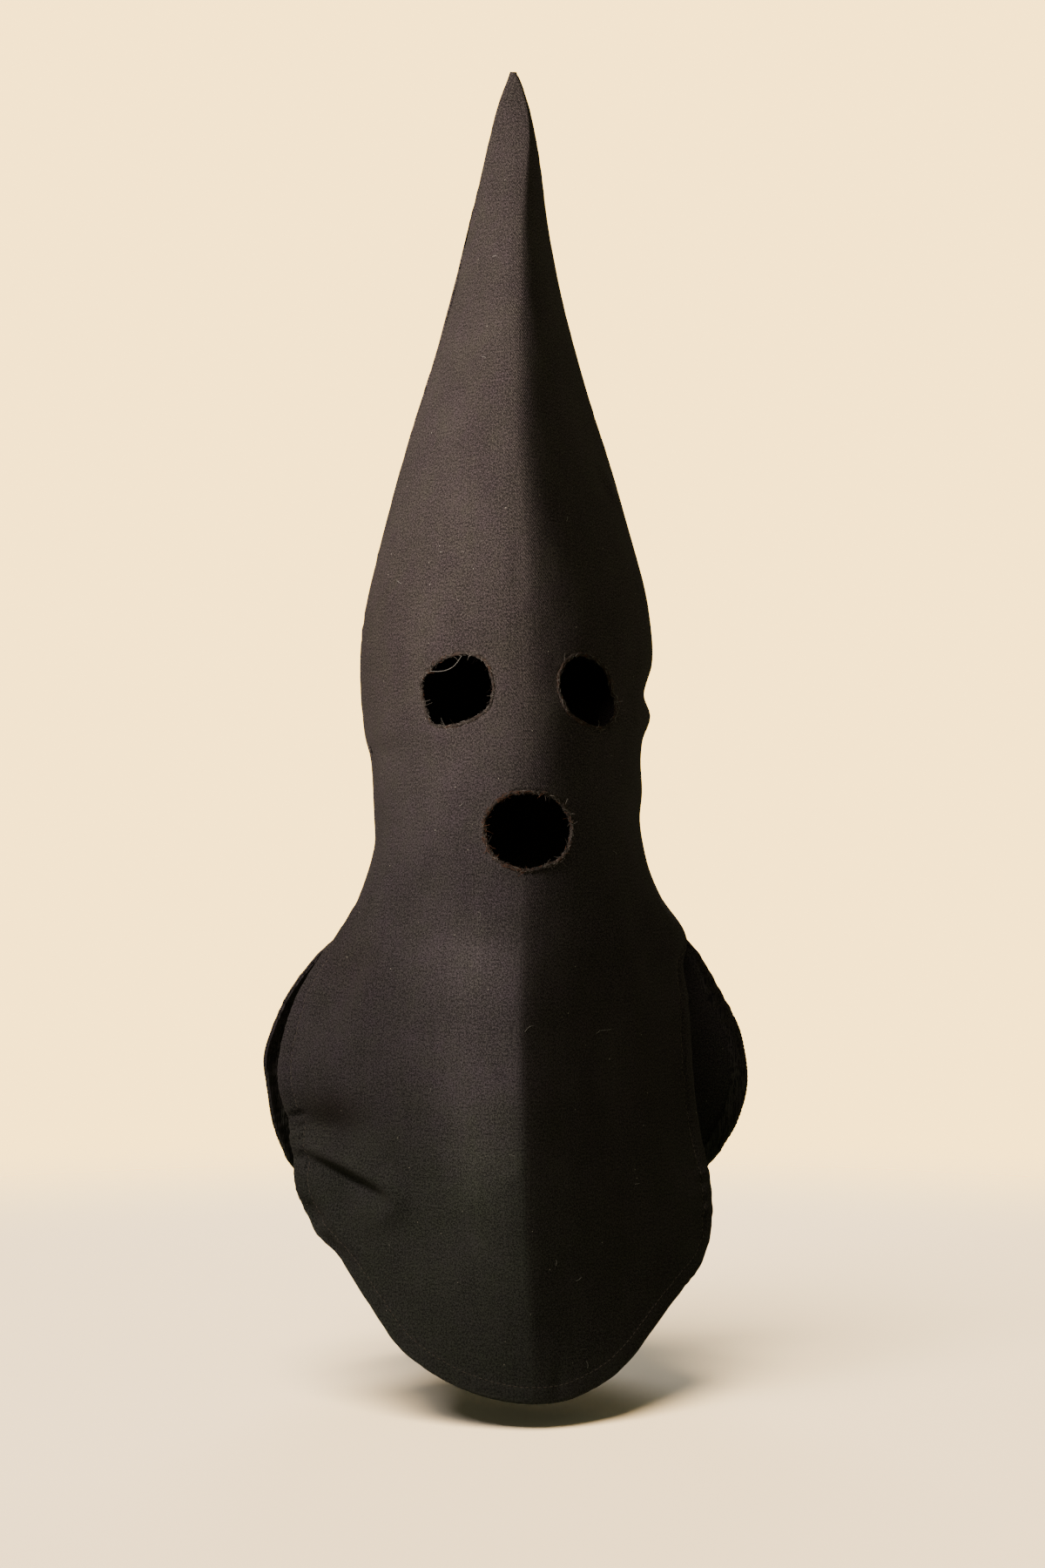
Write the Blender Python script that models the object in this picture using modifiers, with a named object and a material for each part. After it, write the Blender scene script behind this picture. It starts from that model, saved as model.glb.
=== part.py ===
# A soft pointed hood of black cotton in its worn form: a front and a back panel sewn together at the
# sides from the tip to the shoulders, below which each hangs free as a rounded bib with a turned hem.
# Metres, +Z up. The face looks along -Y and the origin is the seat of the crown inside the hood.
import math

import bmesh
import bpy
import numpy as np

# Sizes are in millimetres and become metres where a mesh is made.
MM = 0.001
CLOTH = 1.4
HEM_CLOTH = 1.2
HEM_WIDTH = 8.5
PIECE_GAP = 0.3
SEAM_GAP = 0.5
TIP_HEIGHT = 231.0
SLIT_TOP = -252.0
RIM_RADIUS = 1.3
WELD = 0.02
# At the tip a wall takes this share of a panel's depth, where that is less than the cloth.
TIP_FILL = 0.45
CUTTER_START = 20.0
CUTTER_LENGTH = 85.0
CREASE_SOFTNESS = 0.18
# A panel sweeps a quarter round from its crease to a seam, and less than that to a free edge.
SEAM_SWEEP = 90.0
BIB_SWEEP = 68.0
SWEEP_CHANGE = 45.0
FRONT, BACK = -1, 1

# How finely the cloth is laid out: cells across a panel, rows above the slits and rows of a bib.
CELLS_ACROSS = 24
HOOD_ROWS = 30
BIB_ROWS = 12
ROW_SPREAD = 1.25
RIM_POINTS = 26

# The sewn part, from the tip down. Left and right are the side seams, front and back the depths of
# the two panels, crease the place of the pressed centre fold and ridge how sharply it stands out.
HOOD = (
    # height, left, right, front, back, crease, ridge
    (231, 2.0, 4.6, 1.4, 1.4, 3.3, 0.3),
    (227, 1.6, 6.2, 3.0, 3.0, 3.6, 0.4),
    (216, -2.4, 9.8, 7.0, 7.0, 3.8, 0.5),
    (194, -9.3, 14.7, 14.5, 14.5, 4.0, 0.58),
    (179, -12.4, 17.1, 20.0, 20.0, 4.2, 0.6),
    (150, -20.5, 21.0, 31.0, 31.0, 4.2, 0.6),
    (106, -30.7, 29.4, 48.0, 48.0, 1.5, 0.57),
    (63, -42.8, 40.7, 65.0, 64.0, -1.3, 0.55),
    (20, -56.4, 54.4, 81.0, 80.0, -3.3, 0.55),
    (-10, -64.6, 62.8, 90.0, 89.0, -3.0, 0.45),
    (-40, -72.3, 71.0, 95.0, 96.0, -3.0, 0.3),
    (-68, -78.6, 77.3, 97.0, 99.0, -3.0, 0.24),
    (-98, -81.5, 79.0, 98.0, 99.0, -3.0, 0.18),
    (-118, -81.9, 76.0, 100.0, 97.0, -3.0, 0.16),
    (-127, -80.8, 79.2, 101.5, 96.0, -3.0, 0.15),
    (-141, -78.2, 73.8, 102.0, 93.5, -3.0, 0.15),
    (-150, -75.7, 72.8, 102.0, 92.0, -3.0, 0.15),
    (-171, -74.4, 74.3, 100.2, 88.8, -3.0, 0.16),
    (-185, -73.3, 72.4, 98.0, 87.0, -3.0, 0.17),
    (-200, -73.8, 74.3, 95.0, 85.0, -3.0, 0.18),
    (-228, -82.4, 85.6, 92.0, 85.0, -3.0, 0.32),
    (-252, -96.6, 99.3, 91.0, 87.0, -3.0, 0.46),
)

# Below the slits each panel spreads into a bell of its own. Left and right are its hemmed sides, and
# edge is how far they lie from the seam plane, towards the panel's own side.
FRONT_BELL = (
    # height, left, right, edge, depth, crease, ridge
    (-264, -104.0, 97.2, 2.5, 92.5, -3.0, 0.48),
    (-283, -116.7, 99.4, 7.5, 96.0, -3.2, 0.5),
    (-305, -124.4, 100.8, 12.5, 100.5, -3.3, 0.55),
    (-324, -127.3, 101.7, 17.0, 105.0, -3.3, 0.6),
    (-343, -125.0, 103.0, 21.0, 108.0, -3.3, 0.62),
    (-361, -120.4, 105.0, 25.0, 110.0, -3.2, 0.58),
    (-384, -118.0, 108.6, 30.0, 112.0, -3.2, 0.53),
    (-400, -113.5, 108.8, 34.0, 113.0, -3.0, 0.5),
    (-417, -112.5, 106.8, 38.0, 114.0, -2.4, 0.46),
    (-450, -112.0, 104.0, 46.0, 115.0, -1.1, 0.4),
    (-490, -112.0, 104.0, 54.0, 116.0, 0.0, 0.3),
)
BACK_BELL = (
    # height, left, right, edge, depth, crease, ridge
    (-264, -106.5, 108.5, 3.0, 88.0, -2.5, 0.4),
    (-283, -120.6, 120.6, 8.0, 91.0, -1.5, 0.32),
    (-302, -129.7, 131.4, 13.0, 94.0, 0.0, 0.26),
    (-318, -134.2, 136.4, 17.0, 97.0, 0.0, 0.24),
    (-335, -132.5, 138.6, 21.0, 100.0, 0.0, 0.24),
    (-361, -127.6, 132.6, 27.0, 103.0, 0.0, 0.24),
    (-376, -121.5, 124.8, 31.0, 105.0, 0.0, 0.24),
    (-400, -118.0, 122.0, 36.0, 107.0, 0.0, 0.24),
    (-455, -117.0, 121.0, 48.0, 110.0, 0.0, 0.24),
)

# The heights at which a bib's left and right sides turn into its bottom, and the bottom's edge as
# seen square on, from left to right.
FRONT_CORNERS = (-397.0, -417.0)
BACK_CORNERS = (-376.0, -376.0)
FRONT_BOTTOM = (
    # across, height
    (-106.3, -409.5), (-96.2, -420), (-80.7, -441.5), (-65.8, -461.5), (-47.4, -474),
    (-20.2, -483.6), (0.5, -486), (17.6, -485.4), (29.6, -481.5), (42.8, -475.5), (57.2, -464),
    (68.9, -451), (85.0, -437.5), (100.4, -426),
)
BACK_BOTTOM = (
    # across, height
    (-106.0, -400), (-86.0, -420), (-56.0, -438), (-26.0, -447), (3.0, -450),
    (32.0, -447), (62.0, -438), (91.0, -420), (110.0, -400),
)

# Dents and folds of the cloth. Lean turns a fold's length from upright towards the right, length and
# width are how far it fades out, and rise is outwards, or inwards where it is negative.
FOLDS = (
    # panel, across, height, lean, length, width, rise
    (FRONT, -86, -366, 112, 24, 9, 3.5),
    (FRONT, -88, -380, 112, 24, 8, -4.0),
    (FRONT, -66, -396, 20, 16, 9, 3.0),
    (FRONT, -92, -399, 40, 18, 9, -2.0),
    (FRONT, -101, -342, 20, 20, 13, -4.0),
    (FRONT, -92, -275, 40, 14, 6, -2.5),
    (FRONT, -83, -272, 40, 15, 6, 1.5),
    (FRONT, -31, -72, 15, 24, 7, -1.5),
    (FRONT, 62, -12, -20, 16, 5, 2.0),
    (BACK, -46, -330, 8, 60, 22, -3.0),
    (BACK, 50, -340, -8, 60, 24, -3.0),
    (BACK, 0, -205, 90, 50, 12, -3.0),
)

# The hand-cut holes: the outline's points lie round the centre, clockwise from the top.
HOLES = (
    # name, across, height, outline
    ("left_eye", -36.1, -120.2, (
        (3.4, 19.4), (13.8, 15.5), (18.3, 4.2), (18.0, -3.5), (15.6, -10.7), (7.4, -16.2),
        (-3.9, -19.4), (-12.5, -17.7), (-16.1, -9.1), (-18.3, 3.0), (-15.2, 10.7), (-7.9, 17.0))),
    ("right_eye", 31.5, -119.9, (
        (-4.6, 19.2), (0.9, 18.4), (8.7, 14.4), (12.8, 7.2), (16.0, -5.1), (15.1, -12.4),
        (10.5, -17.8), (3.6, -19.2), (-3.8, -16.4), (-10.5, -12.0), (-14.7, -4.4), (-15.8, 4.2),
        (-13.7, 11.9), (-9.6, 16.9))),
    ("mouth", 0.6, -192.8, (
        (-1.0, 21.7), (9.5, 20.3), (16.8, 15.4), (21.8, 7.7), (23.2, 1.4), (20.9, -9.5),
        (15.9, -15.8), (8.1, -19.4), (-1.0, -21.7), (-9.0, -19.9), (-16.4, -15.8), (-20.9, -9.0),
        (-23.2, 0.0), (-22.7, 7.6), (-18.2, 15.3), (-10.5, 20.6))),
)

BLACK_COTTON = (0.030, 0.025, 0.024, 1.0)
HEM_COTTON = (0.026, 0.022, 0.021, 1.0)
FRAYED_EDGE = (0.034, 0.022, 0.018, 1.0)


def through(keys, values, at):
    """The smooth curve through a table's values, read at the given places."""
    keys = np.asarray(keys, float)
    values = np.asarray(values, float)
    slopes = np.gradient(values, keys)
    after = np.clip(np.searchsorted(keys, at), 1, len(keys) - 1)
    before = after - 1
    span = keys[after] - keys[before]
    t = np.clip((at - keys[before]) / span, 0, 1)
    start = values[before] * (1 + 2 * t) * (1 - t) ** 2
    end = values[after] * t ** 2 * (3 - 2 * t)
    bend = slopes[before] * t * (1 - t) ** 2 - slopes[after] * t ** 2 * (1 - t)
    return start + end + bend * span


def bell(panel):
    """One panel's rows from the tip to its lowest point, lowest first."""
    depth_column = 3 if panel == FRONT else 4
    rows = [(row[0], row[1], row[2], 0.0, row[depth_column], row[5], row[6]) for row in HOOD]
    rows += FRONT_BELL if panel == FRONT else BACK_BELL
    return np.array(rows[::-1], float)


def section(panel, height):
    """Left, right, edge, depth, crease and ridge at a height."""
    rows = bell(panel)
    return [through(rows[:, 0], rows[:, column], height) for column in range(1, 7)]


def fold_rise(panel, across, height):
    rise = np.zeros_like(across)
    for side, x, z, lean, length, width, lift in FOLDS:
        if side != panel:
            continue
        turn = math.radians(lean)
        along = (across - x) * math.sin(turn) + (height - z) * math.cos(turn)
        beside = (across - x) * math.cos(turn) - (height - z) * math.sin(turn)
        rise += lift * np.exp(-(along / length) ** 2 - (beside / width) ** 2)
    return rise


def sweep_at(height):
    """The angle from the crease to an edge: it falls off below the slits."""
    down = np.clip((SLIT_TOP - height) / SWEEP_CHANGE, 0, 1)
    share = down * down * (3 - 2 * down)
    return np.radians(SEAM_SWEEP + (BIB_SWEEP - SEAM_SWEEP) * share)


def roundness(angle, ridge):
    """How far the cloth stands out at an angle from the crease: 1 at the crease and 0 square to it."""
    reach = np.sin(np.abs(angle))
    soft = np.sqrt(reach ** 2 + CREASE_SOFTNESS ** 2) - CREASE_SOFTNESS
    soft /= math.sqrt(1 + CREASE_SOFTNESS ** 2) - CREASE_SOFTNESS
    return (1 - ridge) * np.cos(angle) + ridge * (1 - soft)


def surface(panel, turn, height):
    """Points of a panel's outer face. Turn runs from -1 at its left edge to 1 at its right one."""
    turn = np.asarray(turn, float)
    height = np.asarray(height, float)
    left, right, edge, depth, crease, ridge = section(panel, height)
    sweep = sweep_at(height)
    side = np.where(turn < 0, left, right)
    across = crease + (side - crease) * np.sin(np.abs(turn) * sweep) / np.sin(sweep)
    least = roundness(sweep, ridge)
    bulge = (roundness(turn * sweep, ridge) - least) / (1 - least)
    out = SEAM_GAP / 2 + edge + (depth - edge) * bulge + fold_rise(panel, across, height)
    return np.stack([across, panel * out, height], axis=-1)


def turn_at(panel, across, height):
    """The turn at which a panel's face passes a place seen square on."""
    left, right, edge, depth, crease, ridge = section(panel, height)
    sweep = sweep_at(height)
    side = np.where(across < crease, crease - left, right - crease)
    reach = np.clip(np.abs(across - crease) / side, 0, 1) * np.sin(sweep)
    return np.sign(across - crease) * np.arcsin(reach) / sweep


def inset(panel, turn, height, width):
    """Moves the places along a bib's edge inwards over the cloth by the given width."""
    step = 0.01
    here = surface(panel, turn, height)
    by_turn = (surface(panel, turn + step, height) - surface(panel, turn - step, height)) / (2 * step)
    by_height = (surface(panel, turn, height + step) - surface(panel, turn, height - step)) / (2 * step)
    along = np.gradient(here, axis=0)
    face = np.cross(by_turn, by_height)
    inward = np.cross(face, along)
    inward /= np.linalg.norm(inward, axis=1, keepdims=True)
    moved = []
    for k in range(len(turn)):
        axes = np.stack([by_turn[k], by_height[k]], axis=1)
        moved.append(np.linalg.lstsq(axes, inward[k] * width, rcond=None)[0])
    moved = np.array(moved)
    return turn + moved[:, 0], height + moved[:, 1]


def bib_edge(panel):
    """Turns and heights along a bib's hemmed edge: down its left side, along the bottom and up again."""
    corners = FRONT_CORNERS if panel == FRONT else BACK_CORNERS
    table = FRONT_BOTTOM if panel == FRONT else BACK_BOTTOM
    start = float(section(panel, corners[0])[0])
    end = float(section(panel, corners[1])[1])
    points = np.array([(start, corners[0]), *table, (end, corners[1])], float)
    lengths = np.concatenate([[0], np.cumsum(np.linalg.norm(np.diff(points, axis=0), axis=1))])
    stops = np.linspace(0, lengths[-1], CELLS_ACROSS - 1)
    across = through(lengths, points[:, 0], stops)
    height = through(lengths, points[:, 1], stops)
    turn = turn_at(panel, across, height)
    turn[0], turn[-1] = -1, 1
    down = np.linspace(SLIT_TOP, corners[0], BIB_ROWS + 1)
    up = np.linspace(corners[1], SLIT_TOP, BIB_ROWS + 1)
    side = np.ones(BIB_ROWS)
    return np.concatenate([-side, turn, side]), np.concatenate([down[:-1], height, up[1:]])


def panel_grid(panel):
    """The turns and heights of the hood's rows, of the bib's rows inside its hem, and of the bib's edge."""
    turns = np.linspace(-1, 1, CELLS_ACROSS + 1)
    fall = (TIP_HEIGHT - SLIT_TOP) * np.linspace(0, 1, HOOD_ROWS + 1) ** ROW_SPREAD
    hood = [(turns, np.full(CELLS_ACROSS + 1, TIP_HEIGHT - drop)) for drop in fall]
    edge_turn, edge_height = bib_edge(panel)
    turn, height = inset(panel, edge_turn, edge_height, HEM_WIDTH)
    hem = np.stack([turn, height], axis=1)
    inner = np.stack([turns[1:-1], np.full(CELLS_ACROSS - 1, SLIT_TOP)], axis=1)
    hem[0], hem[-1] = inner[0], inner[-1]
    left, bottom = hem[:BIB_ROWS + 1], hem[BIB_ROWS:-BIB_ROWS]
    right = hem[::-1][:BIB_ROWS + 1]
    share = np.linspace(0, 1, CELLS_ACROSS - 1)[:, None]
    bib = []
    for k in range(1, BIB_ROWS + 1):
        down = k / BIB_ROWS
        row = (1 - down) * inner + down * bottom + (1 - share) * left[k] + share * right[k]
        row -= (1 - down) * ((1 - share) * inner[0] + share * inner[-1])
        row -= down * ((1 - share) * bottom[0] + share * bottom[-1])
        bib.append((row[:, 0], row[:, 1]))
    return hood, bib, (edge_turn, edge_height)


def weave(panel):
    """One panel's open outer face, and the pairs of points along its hem."""
    hood, bib, edge = panel_grid(panel)
    mesh = bmesh.new()

    def knot(turns, heights):
        return [mesh.verts.new(point * MM) for point in surface(panel, turns, heights)]

    rows = [knot(*row) for row in hood]
    cap = [mesh.verts.new(top.co) for top in rows[0]]
    for vertex in cap:
        vertex.co.y = panel * SEAM_GAP / 2 * MM
    rows.insert(0, cap)
    edge_row = [rows[-1][0], *knot(edge[0][1:-1], edge[1][1:-1]), rows[-1][-1]]
    bib_rows = [rows[-1][1:-1], *[knot(*row) for row in bib]]
    hem_row = [row[0] for row in bib_rows] + bib_rows[-1][1:-1] + [row[-1] for row in bib_rows[::-1]]

    def skin(upper, lower):
        for k in range(len(upper) - 1):
            mesh.faces.new((upper[k], lower[k], lower[k + 1], upper[k + 1])[::-panel])

    for block in (rows, bib_rows, [hem_row, edge_row]):
        for upper, lower in zip(block, block[1:]):
            skin(upper, lower)
    bmesh.ops.remove_doubles(mesh, verts=mesh.verts, dist=WELD * MM)
    mesh.normal_update()
    return mesh, edge_row, hem_row


def new_object(name, mesh, collection):
    data = bpy.data.meshes.new(name)
    mesh.to_mesh(data)
    mesh.free()
    made = bpy.data.objects.new(name, data)
    collection.objects.link(made)
    return made


def material(name, colour, roughness):
    made = bpy.data.materials.new(name)
    made.use_nodes = True
    shader = made.node_tree.nodes["Principled BSDF"]
    shader.inputs["Base Color"].default_value = colour
    shader.inputs["Roughness"].default_value = roughness
    shader.inputs["Metallic"].default_value = 0.0
    return made


def thicken(part, thickness, thin_at=None):
    """Gives an open face its wall, on the inner side."""
    wall = part.modifiers.new("wall", "SOLIDIFY")
    wall.thickness = thickness * MM
    wall.offset = -1
    wall.use_even_offset = True
    if thin_at is not None:
        wall.vertex_group = thin_at.name


def tip_group(part, panel):
    """The wall thins at the tip, where the hood is narrower than two walls."""
    group = part.vertex_groups.new(name="wall_share")
    for vertex in part.data.vertices:
        height = min(vertex.co.z / MM, TIP_HEIGHT)
        depth = float(section(panel, height)[3])
        share = min(1.0, TIP_FILL * depth / CLOTH)
        group.add([vertex.index], share, "REPLACE")
    return group


def hole_outline(points, trim=0.0):
    """A closed smooth outline through a hole's points, drawn in by the trim."""
    loop = np.array(points + points[:1], float)
    steps = np.arange(len(loop))
    wide = np.concatenate([loop[-4:-1], loop, loop[1:4]])
    at = np.linspace(0, steps[-1], RIM_POINTS, endpoint=False)
    keys = np.arange(-3, len(loop) + 3)
    outline = np.stack([through(keys, wide[:, axis], at) for axis in (0, 1)], axis=1)
    size = np.linalg.norm(outline, axis=1, keepdims=True)
    return outline * (1 - trim / size)


def cut_hole(part, name, across, height, points, collection):
    front = float(section(FRONT, height)[3])
    mesh = bmesh.new()
    outline = hole_outline(points)
    face = mesh.faces.new([
        mesh.verts.new(((across + x) * MM, (-front - CUTTER_START) * MM, (height + z) * MM))
        for x, z in outline[::-1]])
    pushed = bmesh.ops.extrude_face_region(mesh, geom=[face])
    moved = [item for item in pushed["geom"] if isinstance(item, bmesh.types.BMVert)]
    bmesh.ops.translate(mesh, verts=moved, vec=(0, CUTTER_LENGTH * MM, 0))
    bmesh.ops.recalc_face_normals(mesh, faces=mesh.faces)
    cutter = new_object(name + "_cutter", mesh, collection)
    cutter.hide_render = True
    cutter.display_type = "WIRE"
    cut = part.modifiers.new(name, "BOOLEAN")
    cut.operation = "DIFFERENCE"
    cut.solver = "EXACT"
    cut.object = cutter


def rim(name, across, height, points, collection):
    """The frayed edge of a hole, a soft roll that lies just inside the cut."""
    outline = hole_outline(points, RIM_RADIUS + PIECE_GAP)
    x = across + outline[:, 0]
    z = height + outline[:, 1]
    line = surface(FRONT, turn_at(FRONT, x, z), z)
    line[:, 1] += CLOTH / 2
    curve = bpy.data.curves.new(name, "CURVE")
    curve.dimensions = "3D"
    curve.bevel_depth = RIM_RADIUS * MM
    curve.bevel_resolution = 2
    spline = curve.splines.new("POLY")
    spline.points.add(len(line) - 1)
    spline.use_cyclic_u = True
    for point, place in zip(spline.points, line):
        point.co = (*(place * MM), 1)
    made = bpy.data.objects.new(name, curve)
    collection.objects.link(made)
    return made


def build_panel(name, panel, cloth, collection, cutters):
    mesh, edge_row, hem_row = weave(panel)
    hem_mesh = turned_hem(panel, edge_row, hem_row)
    part = new_object(name, mesh, collection)
    part.data.shade_smooth()
    part.data.materials.append(cloth)
    thicken(part, CLOTH, tip_group(part, panel))
    if panel == FRONT:
        for hole, across, height, points in HOLES:
            cut_hole(part, hole, across, height, points, cutters)
    return hem_mesh


def turned_hem(panel, edge_row, hem_row):
    """The strip turned under along a bib's edge: it lies inside the panel and starts below the slits."""
    mesh = bmesh.new()
    depth = (CLOTH + PIECE_GAP) * MM
    upper = [mesh.verts.new(v.co - v.normal * depth) for v in hem_row[1:-1]]
    lower = [mesh.verts.new(v.co - v.normal * depth) for v in edge_row[1:-1]]
    for k in range(len(upper) - 1):
        mesh.faces.new((upper[k], lower[k], lower[k + 1], upper[k + 1])[::-panel])
    return mesh


def main():
    for item in list(bpy.data.objects):
        bpy.data.objects.remove(item, do_unlink=True)
    parts = bpy.data.collections.new("capirote")
    cutters = bpy.data.collections.new("cutters")
    for collection in (parts, cutters):
        bpy.context.scene.collection.children.link(collection)
    for name, panel in (("front", FRONT), ("back", BACK)):
        cloth = material(name + "_cotton", BLACK_COTTON, 0.95)
        hem_mesh = build_panel(name + "_panel", panel, cloth, parts, cutters)
        hem = new_object(name + "_hem", hem_mesh, parts)
        hem.data.materials.append(material(name + "_hem_cotton", HEM_COTTON, 0.95))
        hem.data.shade_smooth()
        thicken(hem, HEM_CLOTH)
    for name, across, height, points in HOLES:
        edge = rim(name + "_rim", across, height, points, parts)
        edge.data.materials.append(material(name + "_frayed_edge", FRAYED_EDGE, 1.0))


main()
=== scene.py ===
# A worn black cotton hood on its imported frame: two cloth panels with turned and stitched hems,
# three frayed hand-cut holes, loose fibres, and a plain studio round them.
import math
import random

import bmesh
import bpy
import numpy as np
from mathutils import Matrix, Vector, noise
from mathutils.bvhtree import BVHTree
from mathutils.kdtree import KDTree


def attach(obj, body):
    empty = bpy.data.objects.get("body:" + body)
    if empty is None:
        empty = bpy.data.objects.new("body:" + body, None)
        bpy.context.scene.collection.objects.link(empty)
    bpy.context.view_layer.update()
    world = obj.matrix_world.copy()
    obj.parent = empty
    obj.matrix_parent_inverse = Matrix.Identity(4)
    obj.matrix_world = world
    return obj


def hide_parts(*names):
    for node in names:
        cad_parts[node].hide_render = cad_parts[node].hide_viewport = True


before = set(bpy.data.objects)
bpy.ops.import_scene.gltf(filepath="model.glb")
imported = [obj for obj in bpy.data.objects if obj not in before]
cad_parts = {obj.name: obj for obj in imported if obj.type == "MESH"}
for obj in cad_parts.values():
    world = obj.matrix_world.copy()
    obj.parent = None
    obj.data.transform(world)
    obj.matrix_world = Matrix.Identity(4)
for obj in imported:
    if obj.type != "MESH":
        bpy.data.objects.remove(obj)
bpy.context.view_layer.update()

mm = 0.001
front, back = -1, 1
rng = random.Random(7)


# small helpers first, then the pieces one by one

def addObject(name, data):
    made = bpy.data.objects.new(name, data)
    bpy.context.scene.collection.objects.link(made)
    return made


def meshPiece(name, bm, smooth=True):
    data = bpy.data.meshes.new(name)
    bm.to_mesh(data)
    bm.free()
    if smooth:
        data.shade_smooth()
    return addObject(name, data)


def finishedMesh(thing):
    bpy.context.view_layer.update()
    return bpy.data.meshes.new_from_object(thing.evaluated_get(bpy.context.evaluated_depsgraph_get()))


def applyModifiers(piece):
    data = finishedMesh(piece)
    piece.modifiers.clear()
    piece.data = data
    data.shade_smooth()


def layAlong(bm, verts, along, place):
    bmesh.ops.rotate(bm, verts=verts, matrix=along.to_track_quat("Z", "Y").to_matrix())
    bmesh.ops.translate(bm, verts=verts, vec=place)


def dress(piece, material, slot, *nodes):
    piece.data.materials.clear()
    piece.data.materials.append(material)
    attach(piece, "root")
    if nodes:
        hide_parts(*nodes)


def through(keys, values, at):  # the smooth curve through a table's values
    keys = np.asarray(keys, float)
    values = np.asarray(values, float)
    slopes = np.gradient(values, keys)
    after = np.clip(np.searchsorted(keys, at), 1, len(keys) - 1)
    before = after - 1
    span = keys[after] - keys[before]
    t = np.clip((at - keys[before]) / span, 0, 1)
    start = values[before] * (1 + 2 * t) * (1 - t) ** 2
    end = values[after] * t ** 2 * (3 - 2 * t)
    bend = slopes[before] * t * (1 - t) ** 2 - slopes[after] * t ** 2 * (1 - t)
    return start + end + bend * span


def ease(t):
    t = np.clip(t, 0, 1)
    return t * t * (3 - 2 * t)


def bell(away, width):
    return np.exp(-(away / width) ** 2)


def noiseAt(spots):
    return np.array([noise.noise(Vector(spot)) for spot in spots])


def cloud(points, size, seed):  # smooth noise at points given in millimetres
    shift = Vector((seed, -seed, seed * 0.5))
    return noiseAt(Vector(point) / size + shift for point in points)


def lengthsAlong(line):
    return np.concatenate([[0], np.cumsum(np.linalg.norm(np.diff(line, axis=0), axis=1))])


def placesAlong(line, lengths, stops):
    return np.stack([np.interp(stops, lengths, line[:, k]) for k in range(3)], axis=-1)


# the cloth's worn form, in millimetres

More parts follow.
